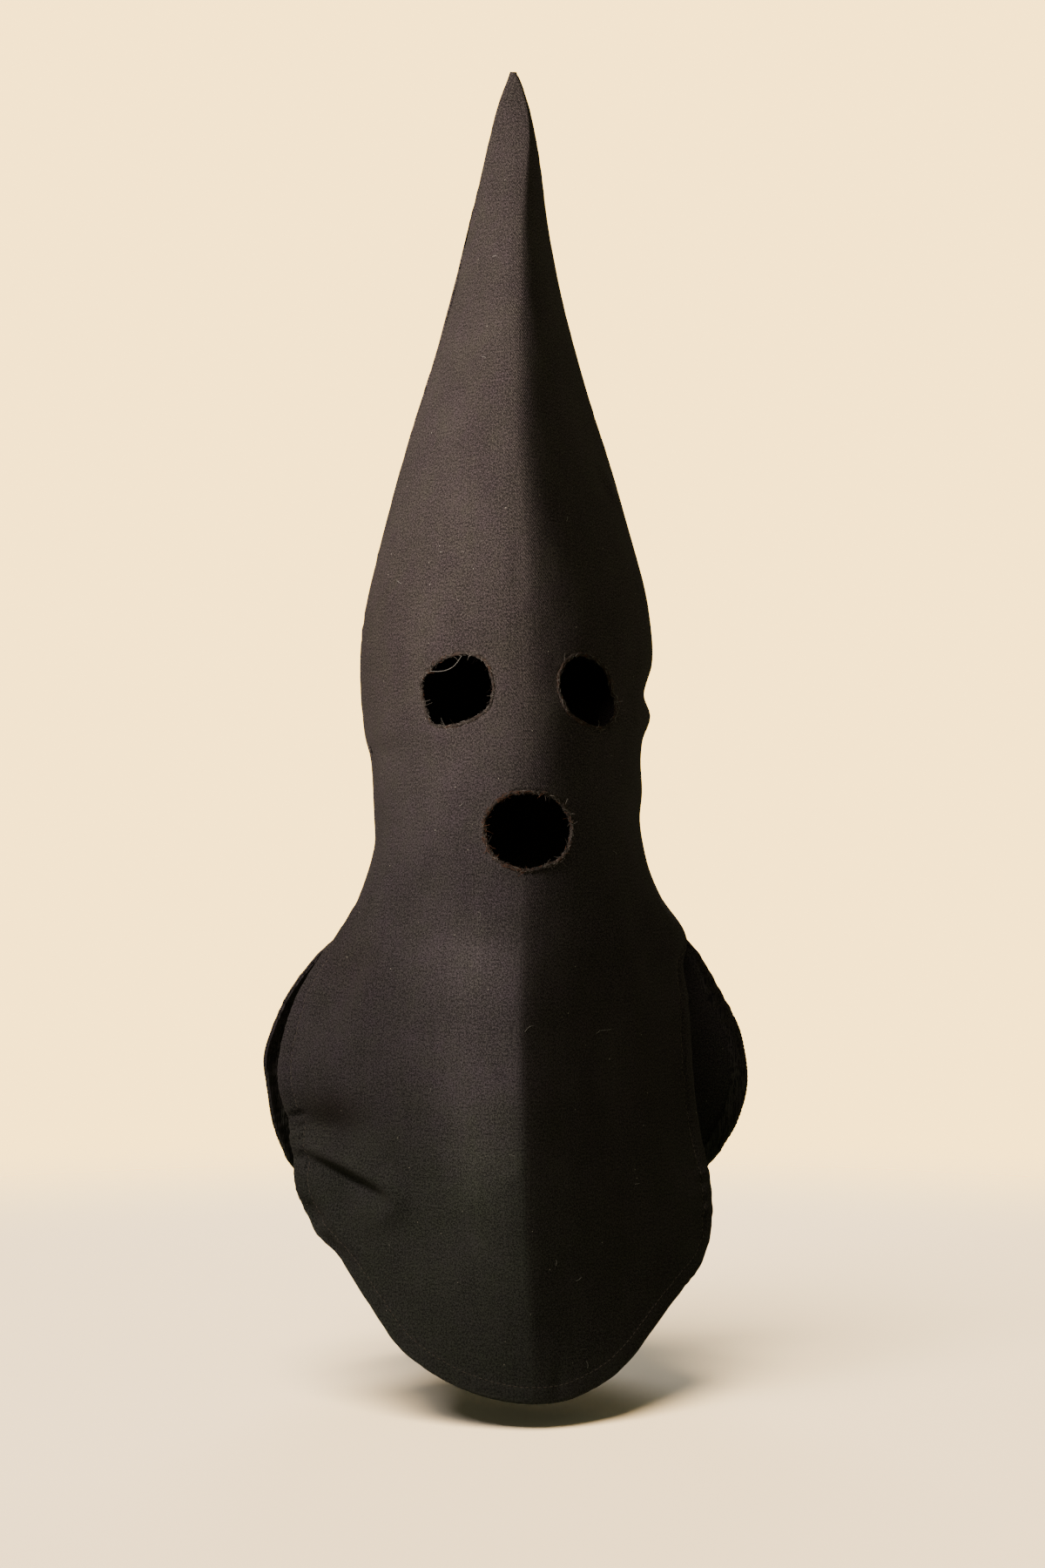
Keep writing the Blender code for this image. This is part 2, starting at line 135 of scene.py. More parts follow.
hoodForm = {
    "tip": 231.0,
    "slitTop": -252.0,
    "rows": (  # height, left, right, front, back, crease, ridge
        (231, 1.2, 5, 1.4, 1.4, 3.4, 0.3), (227, -0.2, 6.8, 3, 3, 5.2, 0.4),
        (216, -4.4, 10.8, 7, 7, 8.2, 0.5), (194, -10.4, 15.8, 14.5, 14.5, 10, 0.58),
        (179, -13.9, 18.1, 20, 20, 8.4, 0.6), (150, -20.7, 21.6, 31, 31, 4.4, 0.6),
        (106, -30.9, 30.5, 48, 48, 0.8, 0.61), (63, -43.2, 42, 65, 64, -2.4, 0.63),
        (20, -56.8, 56, 81, 80, -4.2, 0.71), (-10, -65.3, 64.5, 90, 89, -3.6, 0.63),
        (-40, -73, 72.5, 95, 96, -3, 0.5), (-68, -79.3, 78.7, 97, 99, -3, 0.41),
        (-98, -82.4, 80.3, 98, 99, -2.2, 0.31), (-118, -82, 75.6, 100, 97, -1.6, 0.32),
        (-127, -81.1, 78.8, 101.5, 96, -1.4, 0.32), (-141, -79.3, 74.6, 102, 93.5, -1.2, 0.34),
        (-150, -76.8, 73.7, 102, 92, -1.1, 0.35), (-171, -74.9, 74.8, 100.2, 88.8, -1.2, 0.3),
        (-185, -74.1, 73.8, 98, 87, -1.4, 0.27), (-200, -74.4, 76.1, 95, 85, -1.8, 0.24),
        (-228, -82.3, 86.2, 92, 85, -2.5, 0.4), (-252, -96.4, 100.5, 91, 87, -3, 0.56)),
    "frontBell": (  # height, left, right, edge, depth, crease, ridge
        (-264, -104, 97.2, 2.5, 92.5, -3.4, 0.59), (-283, -116.7, 99.4, 7.5, 96, -4.2, 0.62),
        (-305, -124.4, 100.8, 12.5, 100.5, -4.8, 0.66), (-324, -127.3, 101.7, 17, 105, -4.8, 0.71),
        (-343, -125, 103, 21, 108, -4.6, 0.72), (-361, -120.4, 105, 25, 110, -4.5, 0.68),
        (-384, -118, 108.6, 30, 112, -4.4, 0.63), (-400, -113.5, 108.8, 34, 113, -3.9, 0.6),
        (-417, -112.5, 106.8, 38, 114, -3, 0.55), (-450, -112, 104, 46, 115, -1.1, 0.48),
        (-490, -112, 104, 54, 116, 0, 0.35)),
    "backBell": (
        (-264, -107, 109.7, 3, 88, -2.5, 0.4), (-283, -121.1, 121.8, 8, 91, -1.5, 0.32),
        (-302, -130.2, 132.6, 13, 94, 0, 0.26), (-318, -134.7, 137.6, 17, 97, 0, 0.24),
        (-335, -133, 139.8, 21, 100, 0, 0.24), (-361, -128.1, 133.8, 27, 103, 0, 0.24),
        (-376, -122, 126, 31, 105, 0, 0.24), (-400, -118.5, 123.2, 36, 107, 0, 0.24),
        (-455, -117.5, 122.2, 48, 110, 0, 0.24)),
    "frontCorners": (-397.0, -417.0),
    "backCorners": (-376.0, -376.0),
    "frontBottom": (  # across, height
        (-106.3, -409.5), (-96.2, -420), (-80.7, -441.5), (-65.8, -461.5), (-47.4, -474), (-20.2, -483.6),
        (0.5, -486), (17.6, -485.4), (30.4, -482), (44.4, -476), (59.2, -465.2), (71.4, -453), (87.2, -439),
        (101.4, -427)),
    "backBottom": (
        (-106.0, -400), (-86.0, -420), (-56.0, -438), (-26.0, -447), (3.0, -450), (32.0, -447), (62.0, -438),
        (91.0, -420), (110.0, -400)),
    "creaseSoftness": (  # height, softness of the pressed centre crease
        (-490, 0.16), (-450, 0.06), (-400, 0.07), (-343, 0.035), (-283, 0.05), (-252, 0.16), (-200, 0.28),
        (-160, 0.36), (-100, 0.25), (-40, 0.23), (20, 0.28), (63, 0.42), (150, 0.46), (231, 0.48)),
    "seamSweep": 90.0, "bibSweep": 68.0, "sweepChange": 45.0,
}


def panelRows(panel):
    depthColumn = 3 if panel == front else 4
    rows = [(row[0], row[1], row[2], 0.0, row[depthColumn], row[5], row[6]) for row in hoodForm["rows"]]
    rows += hoodForm["frontBell"] if panel == front else hoodForm["backBell"]
    return np.array(rows[::-1], float)


formRows = {front: panelRows(front), back: panelRows(back)}
softRows = np.array(hoodForm["creaseSoftness"], float)


def sectionAt(panel, height):
    rows = formRows[panel]
    return [through(rows[:, 0], rows[:, column], height) for column in range(1, 7)]


def sweepAt(height):
    share = ease((hoodForm["slitTop"] - height) / hoodForm["sweepChange"])
    return np.radians(hoodForm["seamSweep"] + (hoodForm["bibSweep"] - hoodForm["seamSweep"]) * share)


def roundness(angle, ridge, softness):
    reach = np.sin(np.abs(angle))
    soft = (np.sqrt(reach ** 2 + softness ** 2) - softness) / (np.sqrt(1 + softness ** 2) - softness)
    return (1 - ridge) * np.cos(angle) + ridge * (1 - soft)


def clothPlace(panel, turn, height):  # turn runs from -1 at the left edge to 1 at the right one
    turn = np.asarray(turn, float)
    height = np.asarray(height, float)
    left, right, edge, depth, crease, ridge = sectionAt(panel, height)
    softness = through(softRows[:, 0], softRows[:, 1], height)
    sweep = sweepAt(height)
    side = np.where(turn < 0, left, right)
    across = crease + (side - crease) * np.sin(np.abs(turn) * sweep) / np.sin(sweep)
    least = roundness(sweep, ridge, softness)
    bulge = (roundness(turn * sweep, ridge, softness) - least) / (1 - least)
    out = edge + (depth - edge) * bulge
    return np.stack([across, panel * out, height], axis=-1)


def turnAt(panel, across, height):
    left, right, edge, depth, crease, ridge = sectionAt(panel, height)
    sweep = sweepAt(height)
    side = np.where(across < crease, crease - left, right - crease)
    reach = np.clip(np.abs(across - crease) / side, 0, 1) * np.sin(sweep)
    return np.sign(across - crease) * np.arcsin(reach) / sweep


def frontPlace(across, height):
    return clothPlace(front, turnAt(front, across, height), height)


def slopesAt(panel, turn, height):  # how a place on the cloth moves with its turn and with its height
    step = 0.01
    byTurn = clothPlace(panel, turn + step, height) - clothPlace(panel, turn - step, height)
    byHeight = clothPlace(panel, turn, height + step) - clothPlace(panel, turn, height - step)
    return byTurn / (2 * step), byHeight / (2 * step)


def insetAt(panel, turn, height, width):  # places along a bib's edge, moved inwards over the cloth
    here = clothPlace(panel, turn, height)
    byTurn, byHeight = slopesAt(panel, turn, height)
    heading = np.gradient(here, axis=0)
    heading /= np.linalg.norm(heading, axis=1, keepdims=True)
    spread = 7  # the direction turns gently round the corners
    padded = np.pad(heading, ((spread, spread), (0, 0)), mode="edge")
    heading = sum(padded[k:k + len(here)] for k in range(2 * spread + 1))
    inward = np.cross(np.cross(byTurn, byHeight), heading)
    inward /= np.linalg.norm(inward, axis=1, keepdims=True)
    slopes = np.stack([byTurn, byHeight], axis=2)
    moved = [np.linalg.lstsq(slopes[k], inward[k] * width, rcond=None)[0] for k in range(len(turn))]
    return turn + np.array(moved)[:, 0], height + np.array(moved)[:, 1]


# the panels

clothSizes = {
    "thickness": 1.4,
    "across": 108,  # cells across a panel between its bands
    "hoodRows": 182,
    "bibRows": 112,
    "rowSpread": 1.2,
    "band": (8.5, 7.6, 6.4, 5.0, 3.6, 2.4, 1.5, 0.8, 0.3, 0.0),  # steps from the stitch line to the edge
    "seamTurn": 0.0594,  # the band's share of a turn at the slits
    "slitPoints": 8,  # points over which a band bends away from its slit
    "slitBlend": 14.0,
    "tipFill": 0.45,
    "weld": 0.02,
    "arcHeights": (-495, 231, 122),  # from, to and how many, for the weave's map
    "arcTurns": (-1.02, 1.02, 103),
    "lineStep": 0.8,  # between the points of an edge or a seam
    "creaseFoot": -486,
    "reach": 60.0,  # farther than this from a line counts as this
}

reliefSizes = {
    "sway": ((95, 1.1, 3.0), (42, 0.45, 9.0), (17, 0.16, 17.0)),  # size, rise, seed
    "swayStretch": (1.0, 1.0, 0.45),
    "calmTip": 90.0, "calmSeam": 60.0,  # the sway and the seams' relief fade this far below the tip
    "foldEnds": 0.35,  # what is left of a fold's rise at its ends
    "bandRise": 0.3, "bandEnd": 10.2, "bandSlope": 2.4,
    "stitchValley": 0.22, "stitchLine": 8.5, "stitchWidth": 1.1,
    "gather": 1.25, "gatherLine": 7.0, "gatherWidth": 5.5,
    "sideRelief": 4.2,  # how much stronger all three are along the slits, above the bib's corners
    "sideFoot": -425.0, "sideBlend": 20.0,
    "edgeRound": 1.5,
    "seamValley": 0.35, "seamWidth": 1.5,
    "seamGather": 0.55, "seamGatherWidth": 6.0,
    "pucker": (5.2, 33.0),  # lengths of the gathers and of their swell
    "puckerLevel": 0.55, "puckerSwell": 1.5, "puckerRange": (0.12, 1.6),
}

frontFolds = (  # width, rise, points across and up
    (6.0, 5.4, ((-122, -357.5), (-112, -360.5), (-98, -366), (-84, -372.5), (-71, -379.5), (-67, -385),
                (-69, -392), (-77, -399))),
    (4.4, -7.8, ((-114, -369.5), (-98, -375), (-86, -380), (-73, -385.5))),
    (8.0, -2.6, ((-108, -378), (-88, -386))),
    (11.0, -7.4, ((-122, -350), (-106, -352), (-87, -351))),
    (8.0, -1.6, ((-98, -389), (-88, -393))),
    (3.4, -4.6, ((-113, -392), (-109, -399), (-107, -403))),
    (3.4, -4.4, ((-104, -408), (-99, -414), (-94, -420))),
    (4.0, 2.6, ((-99, -392), (-98, -401), (-92, -409), (-85, -417))),
    (6.0, -0.9, ((-24, -350), (-14, -362), (-7, -368))),
    (3.4, 0.8, ((-23, -343), (-13, -356), (-6, -363))),
    (4.0, 0.7, ((-18, -380), (-10, -372), (-3, -362))),
    (6.0, -3.0, ((-84, -262), (-92, -275), (-101, -290), (-108, -306))),
    (6.0, 1.8, ((-74, -262), (-82, -276), (-89, -290))),
    (4.5, 1.4, ((-97, -262), (-105, -274), (-111, -288))),
    (5.0, -1.5, ((-25, -48), (-29, -68), (-34, -84))),
    (5.0, -0.9, ((-5, -45), (-5, -72))),
    (2.6, 1.1, ((50, 8), (54, 0), (58, -8), (61, -15))),
    (3.0, -1.3, ((45, 8), (49, -2), (54, -11))),
    (4.0, -0.9, ((70, -114), (62, -119), (52, -121))),
    (5.0, 0.8, ((70, -128), (62, -131), (52, -133))),
    (3.4, -1.7, ((-80, -146), (-73, -148.5), (-66, -151))),
    (6.0, 1.0, ((-76, -136), (-66, -141))),
    (2.0, -0.8, ((14, -468), (14.4, -484))),
    (20.0, 1.6, ((-60, -300), (-66, -340), (-60, -372))),
    (16.0, -1.3, ((-42, -290), (-46, -340), (-44, -390), (-40, -430))),
    (10.0, 1.1, ((-25, -250), (-28, -300), (-24, -350))),
    (12.0, -1.6, ((-54, -215), (-68, -240), (-84, -262))),
    (9.0, 1.3, ((-60, -208), (-76, -232), (-94, -255))),
    (12.0, -1.6, ((58, -215), (68, -240), (80, -266))),
    (10.0, 1.4, ((48, -224), (58, -256), (68, -300))),
    (14.0, -1.5, ((82, -300), (86, -350), (84, -400))),
)
backFolds = (
    (20.0, -3.0, ((-52, -275), (-46, -330), (-38, -400))),
    (22.0, -3.0, ((56, -280), (50, -340), (42, -410))),
    (16.0, 2.0, ((-80, -270), (-78, -330), (-74, -380))),
    (16.0, 2.0, ((84, -270), (80, -330), (76, -380))),
    (12.0, -2.6, ((-44, -203), (0, -207), (44, -203))),
    (8.0, 1.6, ((-40, -217), (0, -221), (40, -217))),
    (9.0, -1.4, ((-50, -186), (-66, -196), (-74, -205))),
    (9.0, -1.4, ((50, -186), (66, -196), (74, -205))),
)

holeTable = (  # name, across, height, outline clockwise from the top
    ("leftEye", -35.4, -119.6, (
        (3.3, 19), (13.2, 15.2), (17.6, 4.1), (17.2, -3.4), (14.9, -10.4), (7.1, -15.8), (-3.7, -19),
        (-12, -17.4), (-15.4, -8.9), (-17.6, 3), (-14.6, 10.4), (-7.6, 16.6))),
    ("rightEye", 33.4, -119.6, (
        (-4.9, 19.1), (1, 18.4), (9.5, 14.3), (13.9, 7.2), (17.4, -5.1), (16.5, -12.4), (11.4, -17.8),
        (3.9, -19.1), (-4.1, -16.4), (-11.4, -12), (-15.9, -4.4), (-17.2, 4.2), (-14.8, 11.9),
        (-10.4, 16.9))),
    ("mouth", 1.3, -193.4, (
        (-1, 20.4), (9.5, 19.1), (16.8, 14.4), (21.7, 7.2), (23.2, 1.3), (20.9, -8.9), (15.9, -14.8),
        (8.1, -18.2), (-1, -20.4), (-9, -18.7), (-16.4, -14.8), (-20.9, -8.4), (-23.2, 0), (-22.7, 7.1),
        (-18.2, 14.3), (-10.5, 19.4))),
)
holeSizes = {"points": 96, "cutGrow": 0.6, "ragged": 0.02, "raggedScale": 0.4, "cutFrom": -130,
             "cutDepth": 95}


def bibEdge(panel):  # turns and heights along a bib's edge: down the left, along and up again
    corners = hoodForm["frontCorners"] if panel == front else hoodForm["backCorners"]
    table = hoodForm["frontBottom"] if panel == front else hoodForm["backBottom"]
    start = float(sectionAt(panel, corners[0])[0])
    end = float(sectionAt(panel, corners[1])[1])
    points = np.array([(start, corners[0]), *table, (end, corners[1])], float)
    lengths = lengthsAlong(points)
    stops = np.linspace(0, lengths[-1], clothSizes["across"] + 1)
    across = through(lengths, points[:, 0], stops)
    height = through(lengths, points[:, 1], stops)
    turn = turnAt(panel, across, height)
    turn[0], turn[-1] = -1, 1
    rows = clothSizes["bibRows"]
    down = np.linspace(hoodForm["slitTop"], corners[0], rows + 1)
    up = np.linspace(corners[1], hoodForm["slitTop"], rows + 1)
    side = np.ones(rows)
    return np.concatenate([-side, turn, side]), np.concatenate([down[:-1], height, up[1:]])


def bandTurns(distances):  # the turn of each band step, above the slits
    return 1 - clothSizes["seamTurn"] * np.asarray(distances) / clothSizes["band"][0]


def bandRings(panel, distances):
    edgeTurn, edgeHeight = bibEdge(panel)
    top, ends = hoodForm["slitTop"], clothSizes["slitPoints"]
    share = ease((top - edgeHeight[:ends]) / clothSizes["slitBlend"])  # a band starts level with the slit
    rings = []
    for distance, turnHere in zip(distances, bandTurns(distances)):
        turn, height = insetAt(panel, edgeTurn, edgeHeight, distance)
        turn[0], turn[-1] = -turnHere, turnHere
        height[0] = height[-1] = top
        turn[:ends] = -turnHere + (turn[:ends] + turnHere) * share
        turn[-ends:] = turnHere + (turn[-ends:] - turnHere) * share[::-1]
        rings.append((turn, height))
    return rings


def panelLattice(panel):  # three blocks of turns and heights: above the slits, the bib, and its band
    across, bibRows = clothSizes["across"], clothSizes["bibRows"]
    outer = bandTurns(clothSizes["band"])
    inner = np.linspace(-outer[0], outer[0], across + 1)
    turns = np.concatenate([-outer[::-1][:-1], inner, outer[1:]])
    fall = hoodForm["tip"] - hoodForm["slitTop"]
    drops = fall * np.linspace(0, 1, clothSizes["hoodRows"] + 1) ** clothSizes["rowSpread"]
    hood = np.meshgrid(turns, hoodForm["tip"] - drops)
    rings = bandRings(panel, clothSizes["band"])
    hem = np.stack(rings[0], axis=1)
    left, bottom, right = hem[:bibRows + 1], hem[bibRows:-bibRows], hem[::-1][:bibRows + 1]
    top = np.stack([inner, np.full(across + 1, hoodForm["slitTop"])], axis=1)
    share = np.linspace(0, 1, across + 1)[:, None]
    bib = []
    for k in range(bibRows + 1):
        down = k / bibRows
        row = (1 - down) * top + down * bottom + (1 - share) * left[k] + share * right[k]
        row = row - (1 - down) * ((1 - share) * top[0] + share * top[-1])
        bib.append(row - down * ((1 - share) * bottom[0] + share * bottom[-1]))
    bib = np.array(bib)
    band = np.array([np.stack(ring, axis=1) for ring in rings])
    return [hood, (bib[..., 0], bib[..., 1]), (band[..., 0], band[..., 1])]


def arcTable(panel):  # how far round the cloth a turn lies from the crease, for the weave's own map
    heights = np.linspace(*clothSizes["arcHeights"])
    turns = np.linspace(*clothSizes["arcTurns"])
    lattice = clothPlace(panel, *np.meshgrid(turns, heights))[..., :2]
    steps = np.linalg.norm(np.diff(lattice, axis=1), axis=2)
    arcs = np.concatenate([np.zeros((len(heights), 1)), np.cumsum(steps, axis=1)], axis=1)
    return heights, turns, arcs - arcs[:, [len(turns) // 2]]


def arcAt(table, turn, height):
    heights, turns, arcs = table
    row = np.clip((height - heights[0]) / (heights[1] - heights[0]), 0, len(heights) - 1.001)
    column = np.clip((turn - turns[0]) / (turns[1] - turns[0]), 0, len(turns) - 1.001)
    r, c = row.astype(int), column.astype(int)
    fr, fc = row - r, column - c
    low = arcs[r, c] * (1 - fc) + arcs[r, c + 1] * fc
    high = arcs[r + 1, c] * (1 - fc) + arcs[r + 1, c + 1] * fc
    return low * (1 - fr) + high * fr


def addBlock(bm, panel, turns, heights):
    rows, columns = turns.shape
    verts = bmesh.ops.create_grid(bm, x_segments=columns - 1, y_segments=rows - 1, size=1)["verts"]
    for vert, place in zip(verts, clothPlace(panel, turns.ravel(), heights.ravel())):
        vert.co = place * mm
    return verts


def foldRise(panel, points):
    rise = np.zeros(len(points))
    flat = points[:, [0, 2]]
    ends = reliefSizes["foldEnds"]
    for width, lift, line in frontFolds if panel == front else backFolds:
        line = np.array(line, float)
        lengths = lengthsAlong(line)
        nearest = np.full(len(flat), 1e9)
        along = np.zeros(len(flat))
        for a, b, start in zip(line[:-1], line[1:], lengths):
            run = b - a
            t = np.clip(((flat - a) @ run) / (run @ run), 0, 1)
            away = np.linalg.norm(flat - (a + t[:, None] * run), axis=1)
            closer = away < nearest
            nearest = np.where(closer, away, nearest)
            along = np.where(closer, start + t * np.linalg.norm(run), along)
        share = np.clip(along / lengths[-1], 0, 1)
        taper = ends + (1 - ends) * np.sin(np.pi * share) ** 0.7
        rise += lift * taper * bell(nearest, width)
    return rise


def edgeLine(panel):  # points along the hemmed edge, and how far along it each lies
    line = clothPlace(panel, *bibEdge(panel))
    lengths = lengthsAlong(line)
    stops = np.arange(0, lengths[-1], clothSizes["lineStep"])
    return placesAlong(line, lengths, stops), stops


def upLine(panel, turn, bottom=hoodForm["slitTop"]):  # points up the cloth at one turn, and their heights
    heights = np.arange(bottom, hoodForm["tip"], clothSizes["lineStep"])
    return clothPlace(panel, np.full(len(heights), float(turn)), heights), heights


def nearestOn(line, points):  # how far each point is from a line, and which of its places is nearest
    tree = KDTree(len(line))
    for k, place in enumerate(line):
        tree.insert(Vector(place), k)
    tree.balance()
    found = [tree.find(Vector(p)) for p in points]
    away = np.array([hit[2] for hit in found])
    return np.minimum(away, clothSizes["reach"]), np.array([hit[1] for hit in found])


def pucker(stops, seed):  # small gathers along a sewn line
    small, wide = reliefSizes["pucker"]
    wave = noiseAt((stop / small, seed, 0.0) for stop in stops)
    swell = noiseAt((stop / wide, seed + 9.0, 4.0) for stop in stops)
    level = reliefSizes["puckerLevel"] + reliefSizes["puckerSwell"] * swell
    return wave * np.clip(level, *reliefSizes["puckerRange"])


def creaseCloth(panel, points, normals):  # everything that stands out of or sinks into the plain form
    sizes, top = reliefSizes, hoodForm["slitTop"]
    rise = foldRise(panel, points)
    height = points[:, 2]
    calm = ease((hoodForm["tip"] - height) / sizes["calmTip"])
    for size, lift, seed in sizes["sway"]:
        rise += lift * calm * cloud(points * np.array(sizes["swayStretch"]), size * 0.5, seed + panel * 31)
    edge, stops = edgeLine(panel)
    fromEdge, spot = nearestOn(edge, points)
    below = ease((top + 4 - height) / clothSizes["slitBlend"])
    side = 1 + (sizes["sideRelief"] - 1) * ease((height - sizes["sideFoot"]) / sizes["sideBlend"])
    band = ease((sizes["bandEnd"] - fromEdge) / sizes["bandSlope"])
    rise += below * side * sizes["bandRise"] * band
    rise -= below * side * sizes["stitchValley"] * bell(fromEdge - sizes["stitchLine"], sizes["stitchWidth"])
    gather = pucker(stops, 3.0 + panel)[spot] * sizes["gather"]
    rise += below * side ** 0.5 * gather * bell(fromEdge - sizes["gatherLine"], sizes["gatherWidth"])
    curl = np.clip(sizes["edgeRound"] - fromEdge, 0, None)
    rise -= below * (sizes["edgeRound"] - np.sqrt(np.maximum(sizes["edgeRound"] ** 2 - curl ** 2, 0)))
    above = 1 - below
    fromSeam = np.full(len(points), clothSizes["reach"])
    seamWave = np.zeros(len(points))
    for turn in (-1, 1):
        line, heights = upLine(panel, turn)
        away, spot = nearestOn(line, points)
        closer = away < fromSeam
        fromSeam = np.where(closer, away, fromSeam)
        seamWave = np.where(closer, pucker(heights, 20.0 + turn)[spot], seamWave)
    above *= ease((hoodForm["tip"] - height) / sizes["calmSeam"])
    rise -= above * sizes["seamValley"] * bell(fromSeam, sizes["seamWidth"])
    rise += above * sizes["seamGather"] * seamWave * bell(fromSeam, sizes["seamGatherWidth"])
    moved = points + normals * rise[:, None]
    onSeam = (np.abs(points[:, 1]) < 0.05) & (height > top - 0.05)
    moved[onSeam, 1] = 0.0
    return moved


def outwardShell(bm, panel):  # turns the faces outwards; gives the points and normals in millimetres
    bmesh.ops.recalc_face_normals(bm, faces=bm.faces)
    bm.normal_update()
    if sum(face.normal.y for face in bm.faces) * panel < 0:
        bmesh.ops.reverse_faces(bm, faces=bm.faces)
        bm.normal_update()
    points = np.array([vert.co for vert in bm.verts]) / mm
    return points, np.array([vert.normal for vert in bm.verts])


def thicken(piece, thickness):
    wall = piece.modifiers.new("wall", "SOLIDIFY")
    wall.thickness = thickness * mm
    wall.offset = -1
    return wall

def holeOutline(points, count, grow=0.0):
    loop = np.array(points + points[:1], float)
    wide = np.concatenate([loop[-4:-1], loop, loop[1:4]])
    at = np.linspace(0, len(loop) - 1, count, endpoint=False)
    keys = np.arange(-3, len(loop) + 3)
    outline = np.stack([through(keys, wide[:, axis], at) for axis in (0, 1)], axis=1)
    size = np.linalg.norm(outline, axis=1, keepdims=True)
    return outline * (1 + grow / size)


def holeCutter():
    bm = bmesh.new()
    for name, across, height, points in holeTable:
        outline = holeOutline(points, holeSizes["points"], holeSizes["cutGrow"])
        ragged = noiseAt((x, z, across) for x, z in outline * holeSizes["raggedScale"])
        outline = outline * (1 + holeSizes["ragged"] * ragged[:, None])
        face = bm.faces.new([bm.verts.new(((across + x) * mm, holeSizes["cutFrom"] * mm, (height + z) * mm))
                             for x, z in outline[::-1]])
        pushed = bmesh.ops.extrude_face_region(bm, geom=[face])
        moved = [item for item in pushed["geom"] if isinstance(item, bmesh.types.BMVert)]
        bmesh.ops.translate(bm, verts=moved, vec=(0, holeSizes["cutDepth"] * mm, 0))
    bmesh.ops.recalc_face_normals(bm, faces=bm.faces)
    return meshPiece("holeCutter", bm, smooth=False)


def weavePanel(name, panel):
    bm = bmesh.new()
    weaveMap = bm.verts.layers.float_vector.new("weave")
    table = arcTable(panel)
    for turns, heights in panelLattice(panel):
        verts = addBlock(bm, panel, turns, heights)
        arcs = arcAt(table, turns.ravel(), heights.ravel())
        for vert, arc, z in zip(verts, arcs, heights.ravel()):
            vert[weaveMap] = (arc * mm, z * mm, 0)
    bm.verts.ensure_lookup_table()
    tipVerts = [vert for vert in bm.verts if vert.co.z > (hoodForm["tip"] - 0.01) * mm]
    tipEdges = [edge for edge in bm.edges if edge.verts[0] in tipVerts and edge.verts[1] in tipVerts]
    capped = bmesh.ops.extrude_edge_only(bm, edges=tipEdges)
    for item in capped["geom"]:
        if isinstance(item, bmesh.types.BMVert):
            item.co.y = 0
            item.co.z += 0.5 * mm
    bmesh.ops.remove_doubles(bm, verts=bm.verts, dist=clothSizes["weld"] * mm)
    points, normals = outwardShell(bm, panel)
    for vert, place in zip(bm.verts, creaseCloth(panel, points, normals)):
        vert.co = place * mm
    uv = bm.loops.layers.uv.new("weave")
    for face in bm.faces:
        for loop in face.loops:
            loop[uv].uv = loop.vert[weaveMap][:2]
    bm.verts.layers.float_vector.remove(weaveMap)
    piece = meshPiece(name, bm)
    group = piece.vertex_groups.new(name="wallShare")
    for vert in piece.data.vertices:
        depth = float(sectionAt(panel, min(vert.co.z / mm, hoodForm["tip"]))[3])
        group.add([vert.index], min(1.0, clothSizes["tipFill"] * depth / clothSizes["thickness"]), "REPLACE")
    thicken(piece, clothSizes["thickness"]).vertex_group = group.name
    return piece


paintedLightTable = (  # painted light and shade, as across, height, half width, half height, share by which the cloth is painted paler or darker, side
    (-26, -315, 25, 75, 0.75, -1), (-24, -262, 30, 20, 0.4, -1), (-28, -362, 16, 22, 0.45, -1),
    (-88, -262, 20, 20, -0.15, -1), (-40, -420, 60, 50, 0.22, -1), (55, -350, 70, 130, -0.36, 1),
    (-40, -160, 22, 30, 0.15, -1), (-78, -80, 22, 80, -0.18, -1), (-18, 30, 14, 60, -0.1, -1),
    (-99, -342, 13, 9, -0.35, -1),
)
wearTable = {  # how much and how wide
    "edge": (0.8, 1.6), "seam": (0.45, 1.4), "crease": (0.3, 2.6), "hole": (0.4, 2.4)}


def paintedLightOf(points):  # painted highlight left of the pressed crease, where the lamp falls; painted shade right of it and in a few patches and a hollow left of it
    across, height = points[:, 0], points[:, 2]
    crease = sectionAt(front, height)[4]
    bloom = np.zeros(len(points))
    for x, z, wide, tall, gain, side in paintedLightTable:
        near = bell(across - x, wide) * bell(height - z, tall)
        bloom += gain * near * ease((across - crease) * side / 7.0 + 0.4)
    return bloom


def wearAndPaintedLightOf(piece, panel):  # how worn the cloth is: edges, seams, crease and round the holes; on the front panel also the painted light and shade
    points = np.zeros(len(piece.data.vertices) * 3)
    piece.data.vertices.foreach_get("co", points)
    points = points.reshape(-1, 3) / mm
    worn = [("edge", edgeLine(panel)[0]), ("crease", upLine(panel, 0, clothSizes["creaseFoot"])[0])]
    worn += [("seam", upLine(panel, turn)[0]) for turn in (-1, 1)]
    if panel == front:
        for name, across, height, outline in holeTable:
            rim = holeOutline(outline, holeSizes["points"])
            worn.append(("hole", frontPlace(across + rim[:, 0], height + rim[:, 1])))
    wear = np.zeros(len(points))
    for kind, line in worn:
        gain, width = wearTable[kind]
        wear = np.maximum(wear, gain * bell(nearestOn(line, points)[0], width))
    # painted light and shade on the front panel, stored beside the wear
    bloom = paintedLightOf(points) if panel == front else np.zeros(len(points))
    for name, values in (("wear", wear), ("bloom", bloom)):
        attribute = piece.data.attributes.new(name, "FLOAT", "POINT")
        attribute.data.foreach_set("value", values.astype(np.float32))


frontCloth = weavePanel("frontCloth", front)
backCloth = weavePanel("backCloth", back)
cutter = holeCutter()
cut = frontCloth.modifiers.new("holes", "BOOLEAN")
cut.operation = "DIFFERENCE"
cut.solver = "EXACT"
cut.object = cutter
for piece, panel in ((frontCloth, front), (backCloth, back)):
    applyModifiers(piece)
    wearAndPaintedLightOf(piece, panel)
bpy.data.objects.remove(cutter)
print("panels woven:", len(frontCloth.data.polygons), len(backCloth.data.polygons), "faces")


# the hems, turned under inside each bib

